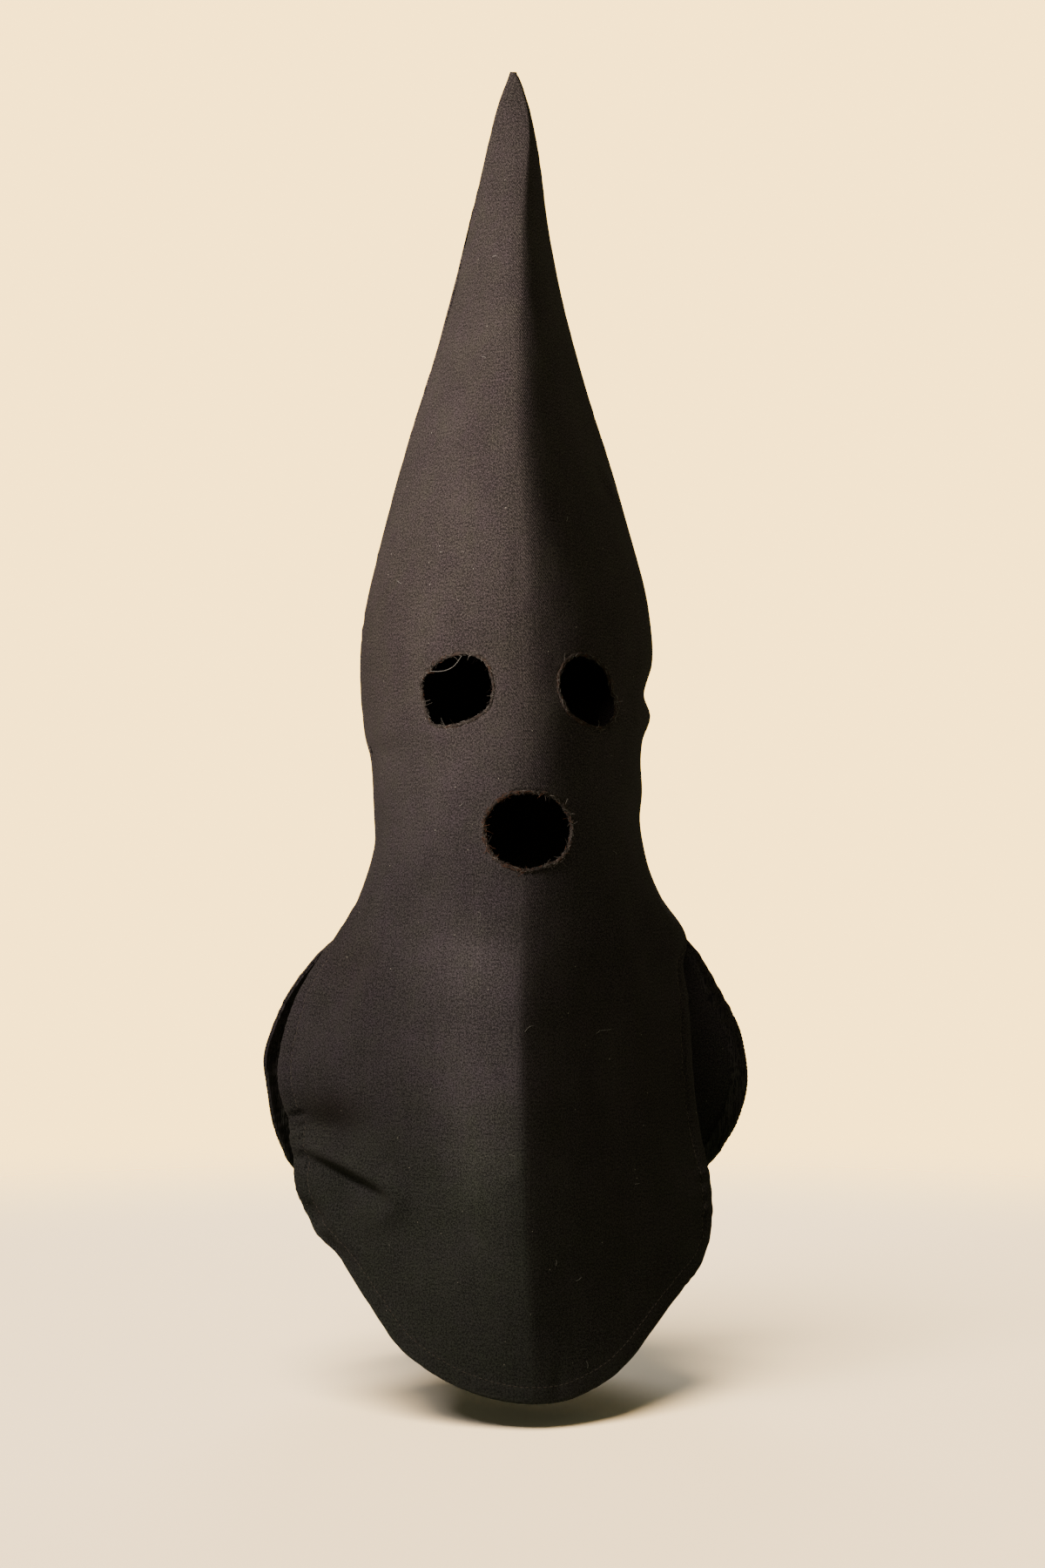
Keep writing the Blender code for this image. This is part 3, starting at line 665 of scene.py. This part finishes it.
hemSizes = {
    "thickness": 1.2,
    "under": 1.45,  # below the panel's outer face
    "steps": (9.6, 9.0, 7.5, 5.5, 3.5, 2.0, 1.2, 0.7),
    "belowSlit": 3.0,
    "curl": 1.6, "curlRise": 0.55,  # the turned edge rises towards the panel's own edge
    "tuck": 0.5, "tuckFrom": 8.2, "tuckSlope": 1.2,  # and the inner edge is tucked away from the stitches
}


def turnHem(name, panel):
    rings = bandRings(panel, hemSizes["steps"])
    start = int(np.argmax(rings[0][1] < hoodForm["slitTop"] - hemSizes["belowSlit"]))
    turns = np.array([ring[0][start:-start] for ring in rings])
    heights = np.array([ring[1][start:-start] for ring in rings])
    bm = bmesh.new()
    addBlock(bm, panel, turns, heights)
    points, normals = outwardShell(bm, panel)
    fromEdge = nearestOn(edgeLine(panel)[0], points)[0]
    under = hemSizes["under"] - hemSizes["curlRise"] * np.clip(hemSizes["curl"] - fromEdge, 0, None)
    under += hemSizes["tuck"] * ease((fromEdge - hemSizes["tuckFrom"]) / hemSizes["tuckSlope"])
    for vert, place, normal, depth in zip(bm.verts, creaseCloth(panel, points, normals), normals, under):
        vert.co = (place - normal * depth) * mm
    piece = meshPiece(name, bm)
    thicken(piece, hemSizes["thickness"])
    applyModifiers(piece)
    return piece


frontHem = turnHem("frontHem", front)
backHem = turnHem("backHem", back)
print("hems turned under")


# stitches along the hems

stitchSizes = {"fromEdge": 8.5, "length": 2.3, "step": 3.1, "radius": 0.21, "rise": 0.08, "wander": 0.105,
               "margin": 6.0, "jitter": 0.2, "slant": 0.09, "lengths": (0.85, 1.08)}


def clothTree(piece):
    bm = bmesh.new()
    bm.from_mesh(piece.data)
    tree = BVHTree.FromBMesh(bm)
    bm.free()
    return tree


trees = {front: clothTree(frontCloth), back: clothTree(backCloth)}


def outwardOf(panel, turn, height):
    outward = np.cross(*slopesAt(panel, turn, height)) * -panel
    return outward / np.linalg.norm(outward, axis=-1, keepdims=True)


def onCloth(panel, place, outward):  # the outer face's point and normal over a plain place
    start = Vector(place + outward * 9.0) * mm
    place, normal = trees[panel].ray_cast(start, -Vector(outward))[:2]
    if place is None:
        place, normal = trees[panel].find_nearest(start)[:2]
    return place, normal


def sewHem(name, panel):
    turn, height = bandRings(panel, (stitchSizes["fromEdge"],))[0]
    line = clothPlace(panel, turn, height)
    outwards = outwardOf(panel, turn, height)
    lengths = lengthsAlong(line)
    margin, jitter, slant = (stitchSizes[key] for key in ("margin", "jitter", "slant"))
    bm = bmesh.new()
    for stop in np.arange(margin, lengths[-1] - margin, stitchSizes["step"]):
        stop += rng.uniform(-jitter, jitter)
        here = placesAlong(line, lengths, stop)
        ahead = placesAlong(line, lengths, stop + 1.0)
        place, normal = onCloth(panel, here, placesAlong(outwards, lengths, stop))
        along = Vector(ahead - here).normalized()
        aside = normal.cross(along).normalized()
        along = aside.cross(normal).normalized()
        along = (along + aside * rng.uniform(-slant, slant)).normalized()
        radius = stitchSizes["radius"] * mm
        verts = bmesh.ops.create_uvsphere(bm, u_segments=6, v_segments=5, radius=radius)["verts"]
        stretch = stitchSizes["length"] * mm / (2 * radius) * rng.uniform(*stitchSizes["lengths"])
        bmesh.ops.scale(bm, verts=verts, vec=(1, 1, stretch))
        shift = normal * stitchSizes["rise"] + aside * rng.gauss(0, stitchSizes["wander"])
        layAlong(bm, verts, along, place + shift * mm)
    return meshPiece(name, bm)


frontStitches = sewHem("frontStitches", front)
backStitches = sewHem("backStitches", back)
print("hems stitched")


# the frayed edges of the holes

rimSizes = {"radius": 1.05, "points": 130, "round": 10, "lump": 0.4, "lumpSize": 1.9, "smallLump": 0.6,
            "smallLumpSize": 0.8, "wander": 0.12, "grow": 0.15, "depth": 0.35}


def rollRim(name, across, height, points):
    outline = holeOutline(points, rimSizes["points"], rimSizes["grow"])
    line = frontPlace(across + outline[:, 0], height + outline[:, 1])
    line[:, 1] += rimSizes["depth"]
    wander = [[rng.gauss(0, 1), rng.gauss(0, 0.5), rng.gauss(0, 1)] for _ in line]
    line += np.array(wander) * rimSizes["wander"]
    bm = bmesh.new()
    rings = []
    count = len(line)
    for k, place in enumerate(line):
        along = Vector(line[(k + 1) % count] - line[k - 1]).normalized()
        made = bmesh.ops.create_circle(bm, segments=rimSizes["round"], radius=rimSizes["radius"] * mm)
        layAlong(bm, made["verts"], along, Vector(place) * mm)
        rings.append(list({edge for vert in made["verts"] for edge in vert.link_edges}))
    for k in range(count):
        bmesh.ops.bridge_loops(bm, edges=rings[k] + rings[(k + 1) % count])
    bmesh.ops.recalc_face_normals(bm, faces=bm.faces)
    bmesh.ops.subdivide_edges(bm, edges=bm.edges, cuts=1, use_grid_fill=True)
    bm.normal_update()
    for vert in bm.verts:
        lump = noise.noise(vert.co / (rimSizes["lumpSize"] * mm))
        lump += rimSizes["smallLump"] * noise.noise(vert.co / (rimSizes["smallLumpSize"] * mm))
        vert.co += vert.normal * lump * rimSizes["lump"] * mm
    return meshPiece(name + "Rim", bm), line


fraySizes = {
    "leftEye": {"threads": 560, "stray": 0.16, "length": 3.0, "rust": 0.06, "rustLeft": 0.10},
    "rightEye": {"threads": 500, "stray": 0.12, "length": 2.8, "rust": 0.08, "rustLeft": 0.12},
    "mouth": {"threads": 760, "stray": 0.20, "length": 3.2, "rust": 0.10, "rustLeft": 0.55},
    "radius": 0.1, "thick": (0.6, 1.25), "thin": 0.35,
    "steps": 5,
    "around": (-0.2, 1.15),  # where a fibre starts round the rim, in half turns from the inside
    "twist": 1.5, "lengths": (0.35, 1.0), "drift": 0.35,
    "loose": (0.5, 2.6), "close": (0.0, 0.25),  # how far fibres stand out
    "pale": 0.36, "grey": 0.34,
    "patch": 0.4, "patchSize": 7.0,
}
frayTones = {"dark": (0.0, 0.3), "grey": (0.35, 0.6), "pale": (0.62, 0.8), "rust": (0.86, 1.0)}


def frayRim(name, line):  # fibres that wind round a rim or stand out of it
    sizes, wish = fraySizes, fraySizes[name]
    curve = fibreCurve(name + "Fray", sizes["radius"], 0)
    count = len(line)
    centre = line.mean(axis=0)
    spacing = np.linalg.norm(line[1] - line[0])
    tints = []
    for _ in range(wish["threads"]):
        start = rng.uniform(0, count)
        around = rng.uniform(*sizes["around"]) * math.pi
        twist = rng.uniform(-sizes["twist"], sizes["twist"])
        length = wish["length"] * rng.uniform(*sizes["lengths"])
        way = rng.choice((-1, 1))
        kind = "loose" if rng.random() < wish["stray"] else "close"
        stray = rng.uniform(*sizes[kind])
        drift = Vector([rng.gauss(0, sizes["drift"]) for _ in range(3)])
        spline = curve.splines.new("POLY")
        spline.points.add(sizes["steps"])
        thick = rng.uniform(*sizes["thick"])
        for step, point in enumerate(spline.points):
            share = step / sizes["steps"]
            at = (start + way * share * length / spacing) % count
            k = int(at) % count
            here = line[k] + (line[(k + 1) % count] - line[k]) * (at - int(at))
            along = Vector(line[(k + 1) % count] - line[k - 1]).normalized()
            inward = Vector(centre - here)
            inward = (inward - along * inward.dot(along)).normalized()
            outward = along.cross(inward)
            outward *= -1 if outward.y > 0 else 1
            angle = around + twist * share
            spoke = inward * math.cos(angle) + outward * math.sin(angle)
            reach = rimSizes["radius"] + 0.1 + stray * share ** 1.6
            place = Vector(here) + (spoke + drift * share * stray * 0.5) * reach
            point.co = (*(place * mm), 1)
            point.radius = thick * (1.0 - sizes["thin"] * share)
        root = line[int(start) % count]
        patch = sizes["patch"] * noise.noise(Vector(root) / sizes["patchSize"])
        chance = rng.random()
        tone = "dark"
        if rng.random() < wish["rustLeft" if root[0] < centre[0] else "rust"]:
            tone = "rust"
        elif chance < sizes["pale"] + patch:
            tone = "pale"
        elif chance < sizes["pale"] + sizes["grey"]:
            tone = "grey"
        tints.append(rng.uniform(*frayTones[tone]))
    piece = fibrePiece(name + "Fray", curve)
    each = len(piece.data.vertices) // len(tints)
    tint = piece.data.attributes.new("tint", "FLOAT", "POINT")
    tint.data.foreach_set("value", np.repeat(np.array(tints, np.float32), each))
    return piece


def fibreCurve(name, radius, roundness=1):
    curve = bpy.data.curves.new(name, "CURVE")
    curve.dimensions = "3D"
    curve.bevel_depth = radius * mm
    curve.bevel_resolution = roundness
    curve.resolution_u = 4
    return curve


def fibrePiece(name, curve):  # a bundle of fibres as one mesh
    strung = addObject(name + "Line", curve)
    data = finishedMesh(strung)
    bpy.data.objects.remove(strung)
    data.name = name
    data.shade_smooth()
    return addObject(name, data)


rims = []
frays = []
for holeName, across, height, points in holeTable:
    rim, line = rollRim(holeName, across, height, points)
    rims.append(rim)
    frays.append(frayRim(holeName, line))
print("holes rimmed and frayed")


# loose fibres: the pale thread across the left eye hole, and short hairs caught on the cloth
fibreSizes = {
    "eyeThread": ((-50.8, -108.4), (-44.1, -109.8), (-39.1, -108.7), (-35.9, -106.4), (-33.2, -101.6)),
    "threadRadius": 0.1, "threadDepth": 0.2,
    "hairs": (  # across, height, length, turn in degrees
        (-24.4, -238.6, 4.5, 55), (23.9, -425.2, 3.6, 20), (13.3, -416.6, 3.2, 80), (-1.6, -297.3, 6.0, 75),
        (40.0, -300.0, 9.0, 12), (-62.0, -60.0, 3.0, 130), (22.0, -30.0, 3.0, 40), (-18.0, 60.0, 2.6, 100),
        (-50.0, -330.0, 3.0, 30), (-8.0, -360.0, 3.4, 150), (-34.0, -180.0, 2.6, 65),
        (52.0, -205.0, 3.0, 110), (-12.0, 120.0, 2.2, 20), (30.0, -470.0, 4.0, 60),
        (-70.0, -410.0, 3.0, 95), (60.0, -380.0, 3.2, 15)),
    "hairRadius": 0.07, "hairRise": 0.12, "hairSteps": 7, "hairBend": 0.28,
}


def layThread():
    curve = fibreCurve("eyeThreadLine", fibreSizes["threadRadius"])
    spline = curve.splines.new("NURBS")
    line = np.array(fibreSizes["eyeThread"], float)
    spline.points.add(len(line) - 1)
    spline.use_endpoint_u = True
    spline.order_u = 4
    depths = frontPlace(line[:, 0], line[:, 1])[:, 1] + fibreSizes["threadDepth"]
    for point, (x, z), y in zip(spline.points, line, depths):
        point.co = (x * mm, y * mm, z * mm, 1)
    return fibrePiece("eyeThread", curve)


def layHairs():
    curve = fibreCurve("hairLines", fibreSizes["hairRadius"])
    steps = fibreSizes["hairSteps"]
    for x, z, length, turned in fibreSizes["hairs"]:
        spline = curve.splines.new("POLY")
        spline.points.add(steps)
        heading = math.radians(turned)
        for point in spline.points:
            height = np.array([z])
            turn = turnAt(front, np.array([x]), height)
            outward = outwardOf(front, turn, height)[0]
            place, normal = onCloth(front, clothPlace(front, turn, height)[0], outward)
            point.co = (*(place + normal * fibreSizes["hairRise"] * mm), 1)
            heading += rng.gauss(0, fibreSizes["hairBend"])
            x += math.cos(heading) * length / steps
            z += math.sin(heading) * length / steps
    return fibrePiece("looseHairs", curve)


eyeThread = layThread()
looseHairs = layHairs()
print("loose fibres laid")


# materials: node sockets written as sums
class Wire:
    def __init__(self, tree, socket):
        self.tree = tree
        self.socket = socket

    def maths(self, operation, first, second=None):
        node = self.tree.nodes.new("ShaderNodeMath")
        node.operation = operation
        for entry, value in zip(node.inputs, (first, second)):
            if isinstance(value, Wire):
                self.tree.links.new(value.socket, entry)
            elif value is not None:
                entry.default_value = value
        return Wire(self.tree, node.outputs[0])

    def __add__(self, other):
        return self.maths("ADD", self, other)

    def __sub__(self, other):
        return self.maths("SUBTRACT", self, other)

    def __rsub__(self, other):
        return self.maths("SUBTRACT", other, self)

    def __mul__(self, other):
        return self.maths("MULTIPLY", self, other)

    def over(self, other):
        return self.maths("GREATER_THAN", self, other)

    def output(self, which):  # another output of the same node
        return Wire(self.tree, self.socket.node.outputs[which])

    def node(self, kind, settings=None, sockets=None, out=0):
        made = self.tree.nodes.new(kind)
        for key, value in (settings or {}).items():
            if key == "stops":
                ramp = made.color_ramp
                while len(ramp.elements) < len(value):
                    ramp.elements.new(0.5)
                for element, (position, colour) in zip(ramp.elements, value):
                    element.position = position
                    element.color = colour
            else:
                setattr(made, key, value)
        for key, value in (sockets or {}).items():
            if isinstance(value, Wire):
                self.tree.links.new(value.socket, made.inputs[key])
            else:
                made.inputs[key].default_value = value
        return Wire(self.tree, made.outputs[out])


def newMaterial(name):
    material = bpy.data.materials.new(name)
    material.use_nodes = True
    tree = material.node_tree
    shader = tree.nodes["Principled BSDF"]
    return material, Wire(tree, None), shader


def mixColours(pen, factor, first, second, blend="MIX"):
    return pen.node("ShaderNodeMix", {"data_type": "RGBA", "blend_type": blend},
                    {0: factor, 6: first, 7: second}, 2)


def stretched(pen, place, scale):
    return pen.node("ShaderNodeVectorMath", {"operation": "MULTIPLY"}, {0: place, 1: scale})


def noiseOf(pen, place, scale, detail=2.0, rough=0.5):  # a scale of three numbers stretches the noise
    if isinstance(scale, tuple):
        place, scale = stretched(pen, place, scale), 1.0
    return pen.node("ShaderNodeTexNoise", {"noise_dimensions": "3D"},
                    {"Vector": place, "Scale": scale, "Detail": detail, "Roughness": rough})


def attributeOf(pen, name):
    return pen.node("ShaderNodeAttribute", {"attribute_name": name}, None, 2)


def bodyOf(pen):  # places in the piece's own frame
    return pen.node("ShaderNodeTexCoord", None, None, 3)


def blend(layers, shares):
    total = layers[0] * shares[0]
    for layer, share in zip(layers[1:], shares[1:]):
        total = total + layer * share
    return total


cottonLook = {
    "thread": (0.088, 0.070, 0.066, 1), "deep": (0.022, 0.0175, 0.0165, 1),
    "plum": (0.092, 0.064, 0.072, 1), "olive": (0.082, 0.073, 0.055, 1),
    "faded": (0.125, 0.100, 0.090, 1), "lint": (0.42, 0.38, 0.33, 1),
    "layers": (  # grain, dust, slubs, weft and streaks: features a metre, detail, roughness
        ((1150, 920, 1), 1.0, 0.6), ((2600, 2080, 1), 0.0, 0.5), ((1100, 45, 1), 3.0, 0.6),
        ((60, 900, 1), 2.0, 0.6), ((330, 14, 1), 3.0, 0.6)),
    "toneShares": (3.1, 2.6, 0.6, 0.5, 0.3, 0.9, 0.06),  # those layers, then the clouds and the ribs
    "heightShares": (1.1, 0.6, 0.8, 0.35, 0.4),  # grain, dust, slubs, weft and ribs
    "rubShares": (2.2, 1.0), "rub": 0.55,  # grain and slubs where the cloth is worn
    "sparkShares": (1.6, 1.3),  # grain and dust where the light catches the threads
    "heightStops": (  # tints from the hem up to the tip
        (0.0, (0.80, 1.02, 1.0, 1)), (0.16, (0.80, 1.02, 1.0, 1)), (0.24, (0.93, 1.0, 1.17, 1)),
        (0.38, (0.95, 1.0, 1.14, 1)), (0.52, (0.98, 1.0, 1.05, 1)), (1.0, (0.98, 1.0, 1.05, 1))),
    "specks": (260.0, 0.085, 0.93, 0.75),  # lint: cells a metre, size, rarity and paleness
    "twill": 0.00105, "twillSlope": (0.82, 0.57), "roughness": 0.92, "sheen": 0.06,
}


def cottonMaterial(name, look, mapped=True):
    material, pen, shader = newMaterial(name)
    body = bodyOf(pen)
    place = pen.node("ShaderNodeUVMap", {"uv_map": "weave"}) if mapped else body
    across = pen.node("ShaderNodeSeparateXYZ", None, {0: place})
    jitter = noiseOf(pen, place, (420, 160, 1))
    ribs = blend((across, across.output(1)), look["twillSlope"]) * (2 * math.pi / look["twill"])
    ribs = pen.maths("SINE", ribs + jitter * 7.0)
    grain, dust, slub, weft, streak = (noiseOf(pen, place, *layer) - 0.5 for layer in look["layers"])
    cloudy = noiseOf(pen, body, 26.0, 4.0, 0.6) - 0.5
    tone = blend((grain, dust, slub, weft, streak, cloudy, ribs), look["toneShares"]) + 0.5
    tint = noiseOf(pen, body, 55.0, 5.0, 0.7)
    warm = mixColours(pen, (tint - 0.5) * 3.2 + 0.5, look["plum"], look["olive"])
    warm = mixColours(pen, 0.55, look["thread"], warm)
    cloth = mixColours(pen, tone, look["deep"], warm)
    # painted light and shade, read from the panel's attribute
    bloom = attributeOf(pen, "bloom")
    level = pen.node("ShaderNodeSeparateXYZ", None, {0: body}).output(2)
    rank = pen.node("ShaderNodeMapRange", None, {"Value": level, "From Min": -0.5, "From Max": 0.25})
    if mapped:
        rubbed = attributeOf(pen, "wear") * (blend((grain, slub), look["rubShares"]) + look["rub"])
        cloth = mixColours(pen, rubbed, cloth, look["faded"])
        # the painted light and shade brighten or darken the cloth here, together with glints where the light
        # catches the threads
        gain = bloom + blend((grain, dust), look["sparkShares"]) * rank + 1.0
        cloth = pen.node("ShaderNodeVectorMath", {"operation": "SCALE"}, {0: cloth, "Scale": gain})
    tinted = pen.node("ShaderNodeValToRGB", {"stops": look["heightStops"]}, {0: rank})
    # the painted light and shade also scale how strongly the height tint is applied
    cloth = mixColours(pen, bloom * 2.2 + 1.0, cloth, tinted, "MULTIPLY")
    scale, size, rarity, paleness = look["specks"]
    cells = pen.node("ShaderNodeTexVoronoi", {"feature": "F1"}, {"Vector": place, "Scale": scale})
    chance = pen.node("ShaderNodeTexWhiteNoise", {"noise_dimensions": "3D"},
                      {"Vector": cells.output("Position")})
    speck = (size - cells).over(0.0) * chance.over(rarity)
    cloth = mixColours(pen, speck * paleness, cloth, look["lint"])
    height = blend((grain, dust, slub, weft, ribs), look["heightShares"])
    wrinkle = noiseOf(pen, place, (150, 85, 1), 4.0, 0.6)
    soft = bumpOf(pen, wrinkle, 0.3, 0.0012)
    bump = bumpOf(pen, height, 0.6, 0.0003, soft)
    dressShader(shader, pen, cloth, bump, slub * 0.1 + look["roughness"], 0.18)
    shader.inputs["Sheen Weight"].default_value = look["sheen"]
    shader.inputs["Sheen Roughness"].default_value = 0.55
    shader.inputs["Sheen Tint"].default_value = (0.75, 0.62, 0.58, 1)
    return material


def bumpOf(pen, height, strength, distance, under=None):
    sockets = {"Height": height, "Strength": strength, "Distance": distance}
    if under:
        sockets["Normal"] = under
    return pen.node("ShaderNodeBump", None, sockets)


def dressShader(shader, pen, colour, bump, roughness, shine):
    sockets = {"Base Color": colour, "Normal": bump, "Roughness": roughness, "Specular IOR Level": shine}
    for key, value in sockets.items():
        if isinstance(value, Wire):
            pen.tree.links.new(value.socket, shader.inputs[key])
        else:
            shader.inputs[key].default_value = value


def fibreMaterial(name, dark, pale, tufts):
    material, pen, shader = newMaterial(name)
    strand = noiseOf(pen, bodyOf(pen), 1400.0, 3.0, 0.65)
    patch = noiseOf(pen, bodyOf(pen), 130.0)
    colour = mixColours(pen, strand * 1.5 - 0.3, dark, pale)
    colour = mixColours(pen, (patch - 0.5) * 3.2, colour, tufts)
    dressShader(shader, pen, colour, bumpOf(pen, strand, 0.8, 0.0003), 0.95, 0.15)
    return material


frayStops = (  # dark fibres first, then grey, pale and rust ones
    (0.0, (0.014, 0.011, 0.010, 1)), (0.33, (0.040, 0.032, 0.029, 1)), (0.58, (0.20, 0.17, 0.15, 1)),
    (0.80, (0.56, 0.51, 0.46, 1)), (0.85, (0.15, 0.068, 0.042, 1)), (1.0, (0.34, 0.155, 0.095, 1)),
)


def frayMaterial(name):
    material, pen, shader = newMaterial(name)
    strand = noiseOf(pen, bodyOf(pen), 1600.0, 2.0, 0.6)
    colour = pen.node("ShaderNodeValToRGB", {"stops": frayStops}, {0: attributeOf(pen, "tint")})
    colour = mixColours(pen, strand * 1.2 - 0.25, colour, (0.020, 0.016, 0.015, 1))
    dressShader(shader, pen, colour, bumpOf(pen, strand, 0.8, 0.0003), 0.9, 0.15)
    return material


cotton = cottonMaterial("blackTwill", cottonLook)
hemCotton = cottonMaterial("blackTwillUnder", cottonLook, mapped=False)
rimCotton = fibreMaterial("frayedCotton", (0.020, 0.016, 0.015, 1), (0.10, 0.082, 0.074, 1),
                          (0.10, 0.052, 0.034, 1))
frayCotton = frayMaterial("looseFray")
stitchCotton = fibreMaterial("greyStitch", (0.10, 0.082, 0.072, 1), (0.24, 0.205, 0.18, 1),
                             (0.16, 0.13, 0.115, 1))
paleFibre = fibreMaterial("paleFibre", (0.30, 0.28, 0.26, 1), (0.58, 0.55, 0.51, 1), (0.44, 0.41, 0.38, 1))

dress(frontCloth, cotton, "panel_cotton", "front_panel")
dress(backCloth, cotton, "panel_cotton", "back_panel")
dress(frontHem, hemCotton, "hem_cotton", "front_hem")
dress(backHem, hemCotton, "hem_cotton", "back_hem")
dress(frontStitches, stitchCotton, "hem_cotton")
dress(backStitches, stitchCotton, "hem_cotton")
for rim, node in zip(rims, ("left_eye_rim", "right_eye_rim", "mouth_rim")):
    dress(rim, rimCotton, "frayed_cotton", node)
for fray in frays:
    dress(fray, frayCotton, "frayed_cotton")
for fibres in (eyeThread, looseHairs):
    dress(fibres, paleFibre, "frayed_cotton")
print("cotton dressed")


# the studio

studio = {
    "floorHeight": -0.5,
    "floorRadius": 1.4,
    "floorColour": (0.86, 0.80, 0.70, 1), "floorGrain": (0.817, 0.76, 0.665, 1),
    "floorFade": (0.55, 1.35),  # metres from the middle where the floor melts into the air
    "seen": (5.2, 3.35, 1.05, 1),
    "ambient": (1.0, 0.97, 0.62, 1),
    "ambientStrength": 0.15,
    "sunPower": 11.0, "sunWidth": 35, "sunTilt": (18, -14), "sunColour": (1.0, 0.74, 0.42),
}
lightTable = (  # name, place, aim, size, watts, colour
    ("keyLight", (-0.475, -0.3985, 0.132), (0, 0, 0.1), 0.22, 3.4, (1.0, 0.89, 0.80)),
    ("coneLight", (-0.475, -0.3985, -0.054), (0, 0, 1.0), 0.22, 4.5, (1.0, 0.89, 0.80)),
    ("backLight", (0.17, 1.55, 0.6), (0, 0, -0.1), 0.7, 8.0, (1.0, 0.93, 0.84)),
)
cameraSizes = {"place": (-0.1446, -1.3423, -0.214), "turn": -6.5, "lens": 55.62, "shift": 0.0556}


def addLight(name, kind, power, colour):
    lamp = bpy.data.lights.new(name, kind)
    lamp.energy = power
    lamp.color = colour
    return addObject(name, lamp)


def layFloor():
    bm = bmesh.new()
    made = bmesh.ops.create_circle(bm, cap_ends=True, segments=96, radius=studio["floorRadius"])
    bmesh.ops.translate(bm, verts=made["verts"], vec=(0, 0, studio["floorHeight"]))
    floor = meshPiece("paleFloor", bm, smooth=False)
    material, pen, shader = newMaterial("palePaper")
    grain = noiseOf(pen, bodyOf(pen), 3.0, 4.0)
    colour = mixColours(pen, grain, studio["floorColour"], studio["floorGrain"])
    pen.tree.links.new(colour.socket, shader.inputs["Base Color"])
    shader.inputs["Roughness"].default_value = 0.9
    nearEdge, farEdge = studio["floorFade"]
    flat = stretched(pen, bodyOf(pen), (1, 1, 0))
    away = pen.node("ShaderNodeVectorMath", {"operation": "LENGTH"}, {0: flat}, 1)
    melt = pen.node("ShaderNodeMapRange", {"interpolation_type": "SMOOTHERSTEP"},
                    {"Value": away, "From Min": nearEdge, "From Max": farEdge})
    clear = pen.node("ShaderNodeBsdfTransparent")
    both = pen.node("ShaderNodeMixShader", None, {0: melt, 1: Wire(pen.tree, shader.outputs[0]), 2: clear})
    pen.tree.links.new(both.socket, pen.tree.nodes["Material Output"].inputs["Surface"])
    floor.data.materials.append(material)
    floor.visible_diffuse = False
    floor.visible_glossy = False
    return floor


def fillAir():
    world = bpy.data.worlds.new("studioAir")
    bpy.context.scene.world = world
    world.use_nodes = True
    world.node_tree.nodes.clear()
    pen = Wire(world.node_tree, None)
    seen = pen.node("ShaderNodeBackground", None, {"Color": studio["seen"], "Strength": 1.0})
    lit = pen.node("ShaderNodeBackground", None,
                   {"Color": studio["ambient"], "Strength": studio["ambientStrength"]})
    ray = pen.node("ShaderNodeLightPath")
    both = pen.node("ShaderNodeMixShader", None, {0: ray, 1: lit, 2: seen})
    output = pen.tree.nodes.new("ShaderNodeOutputWorld")
    pen.tree.links.new(both.socket, output.inputs["Surface"])


def hangLights(floor):
    for name, place, target, size, watts, colour in lightTable:
        light = addLight(name, "AREA", watts, colour)
        light.data.shape = "DISK"
        light.data.size = size
        light.location = place
        aim = Vector(target) - Vector(place)
        light.rotation_euler = aim.to_track_quat("-Z", "Y").to_euler()
        light.visible_camera = False
    sun = addLight("floorSun", "SUN", studio["sunPower"], studio["sunColour"])
    sun.data.angle = math.radians(studio["sunWidth"])
    sun.rotation_euler = (*(math.radians(tilt) for tilt in studio["sunTilt"]), 0)
    sunlit = bpy.data.collections.new("litByFloorSun")
    sunlit.objects.link(floor)
    sun.light_linking.receiver_collection = sunlit


def placeCamera():
    lens = bpy.data.cameras.new("camera")
    lens.sensor_width = 36
    lens.lens = cameraSizes["lens"]
    lens.shift_y = cameraSizes["shift"]
    lens.clip_start = 0.05
    camera = addObject("camera", lens)
    camera.location = cameraSizes["place"]
    camera.rotation_euler = (math.radians(90), 0, math.radians(cameraSizes["turn"]))
    bpy.context.scene.camera = camera


floor = layFloor()
fillAir()
hangLights(floor)
placeCamera()
print("studio set")
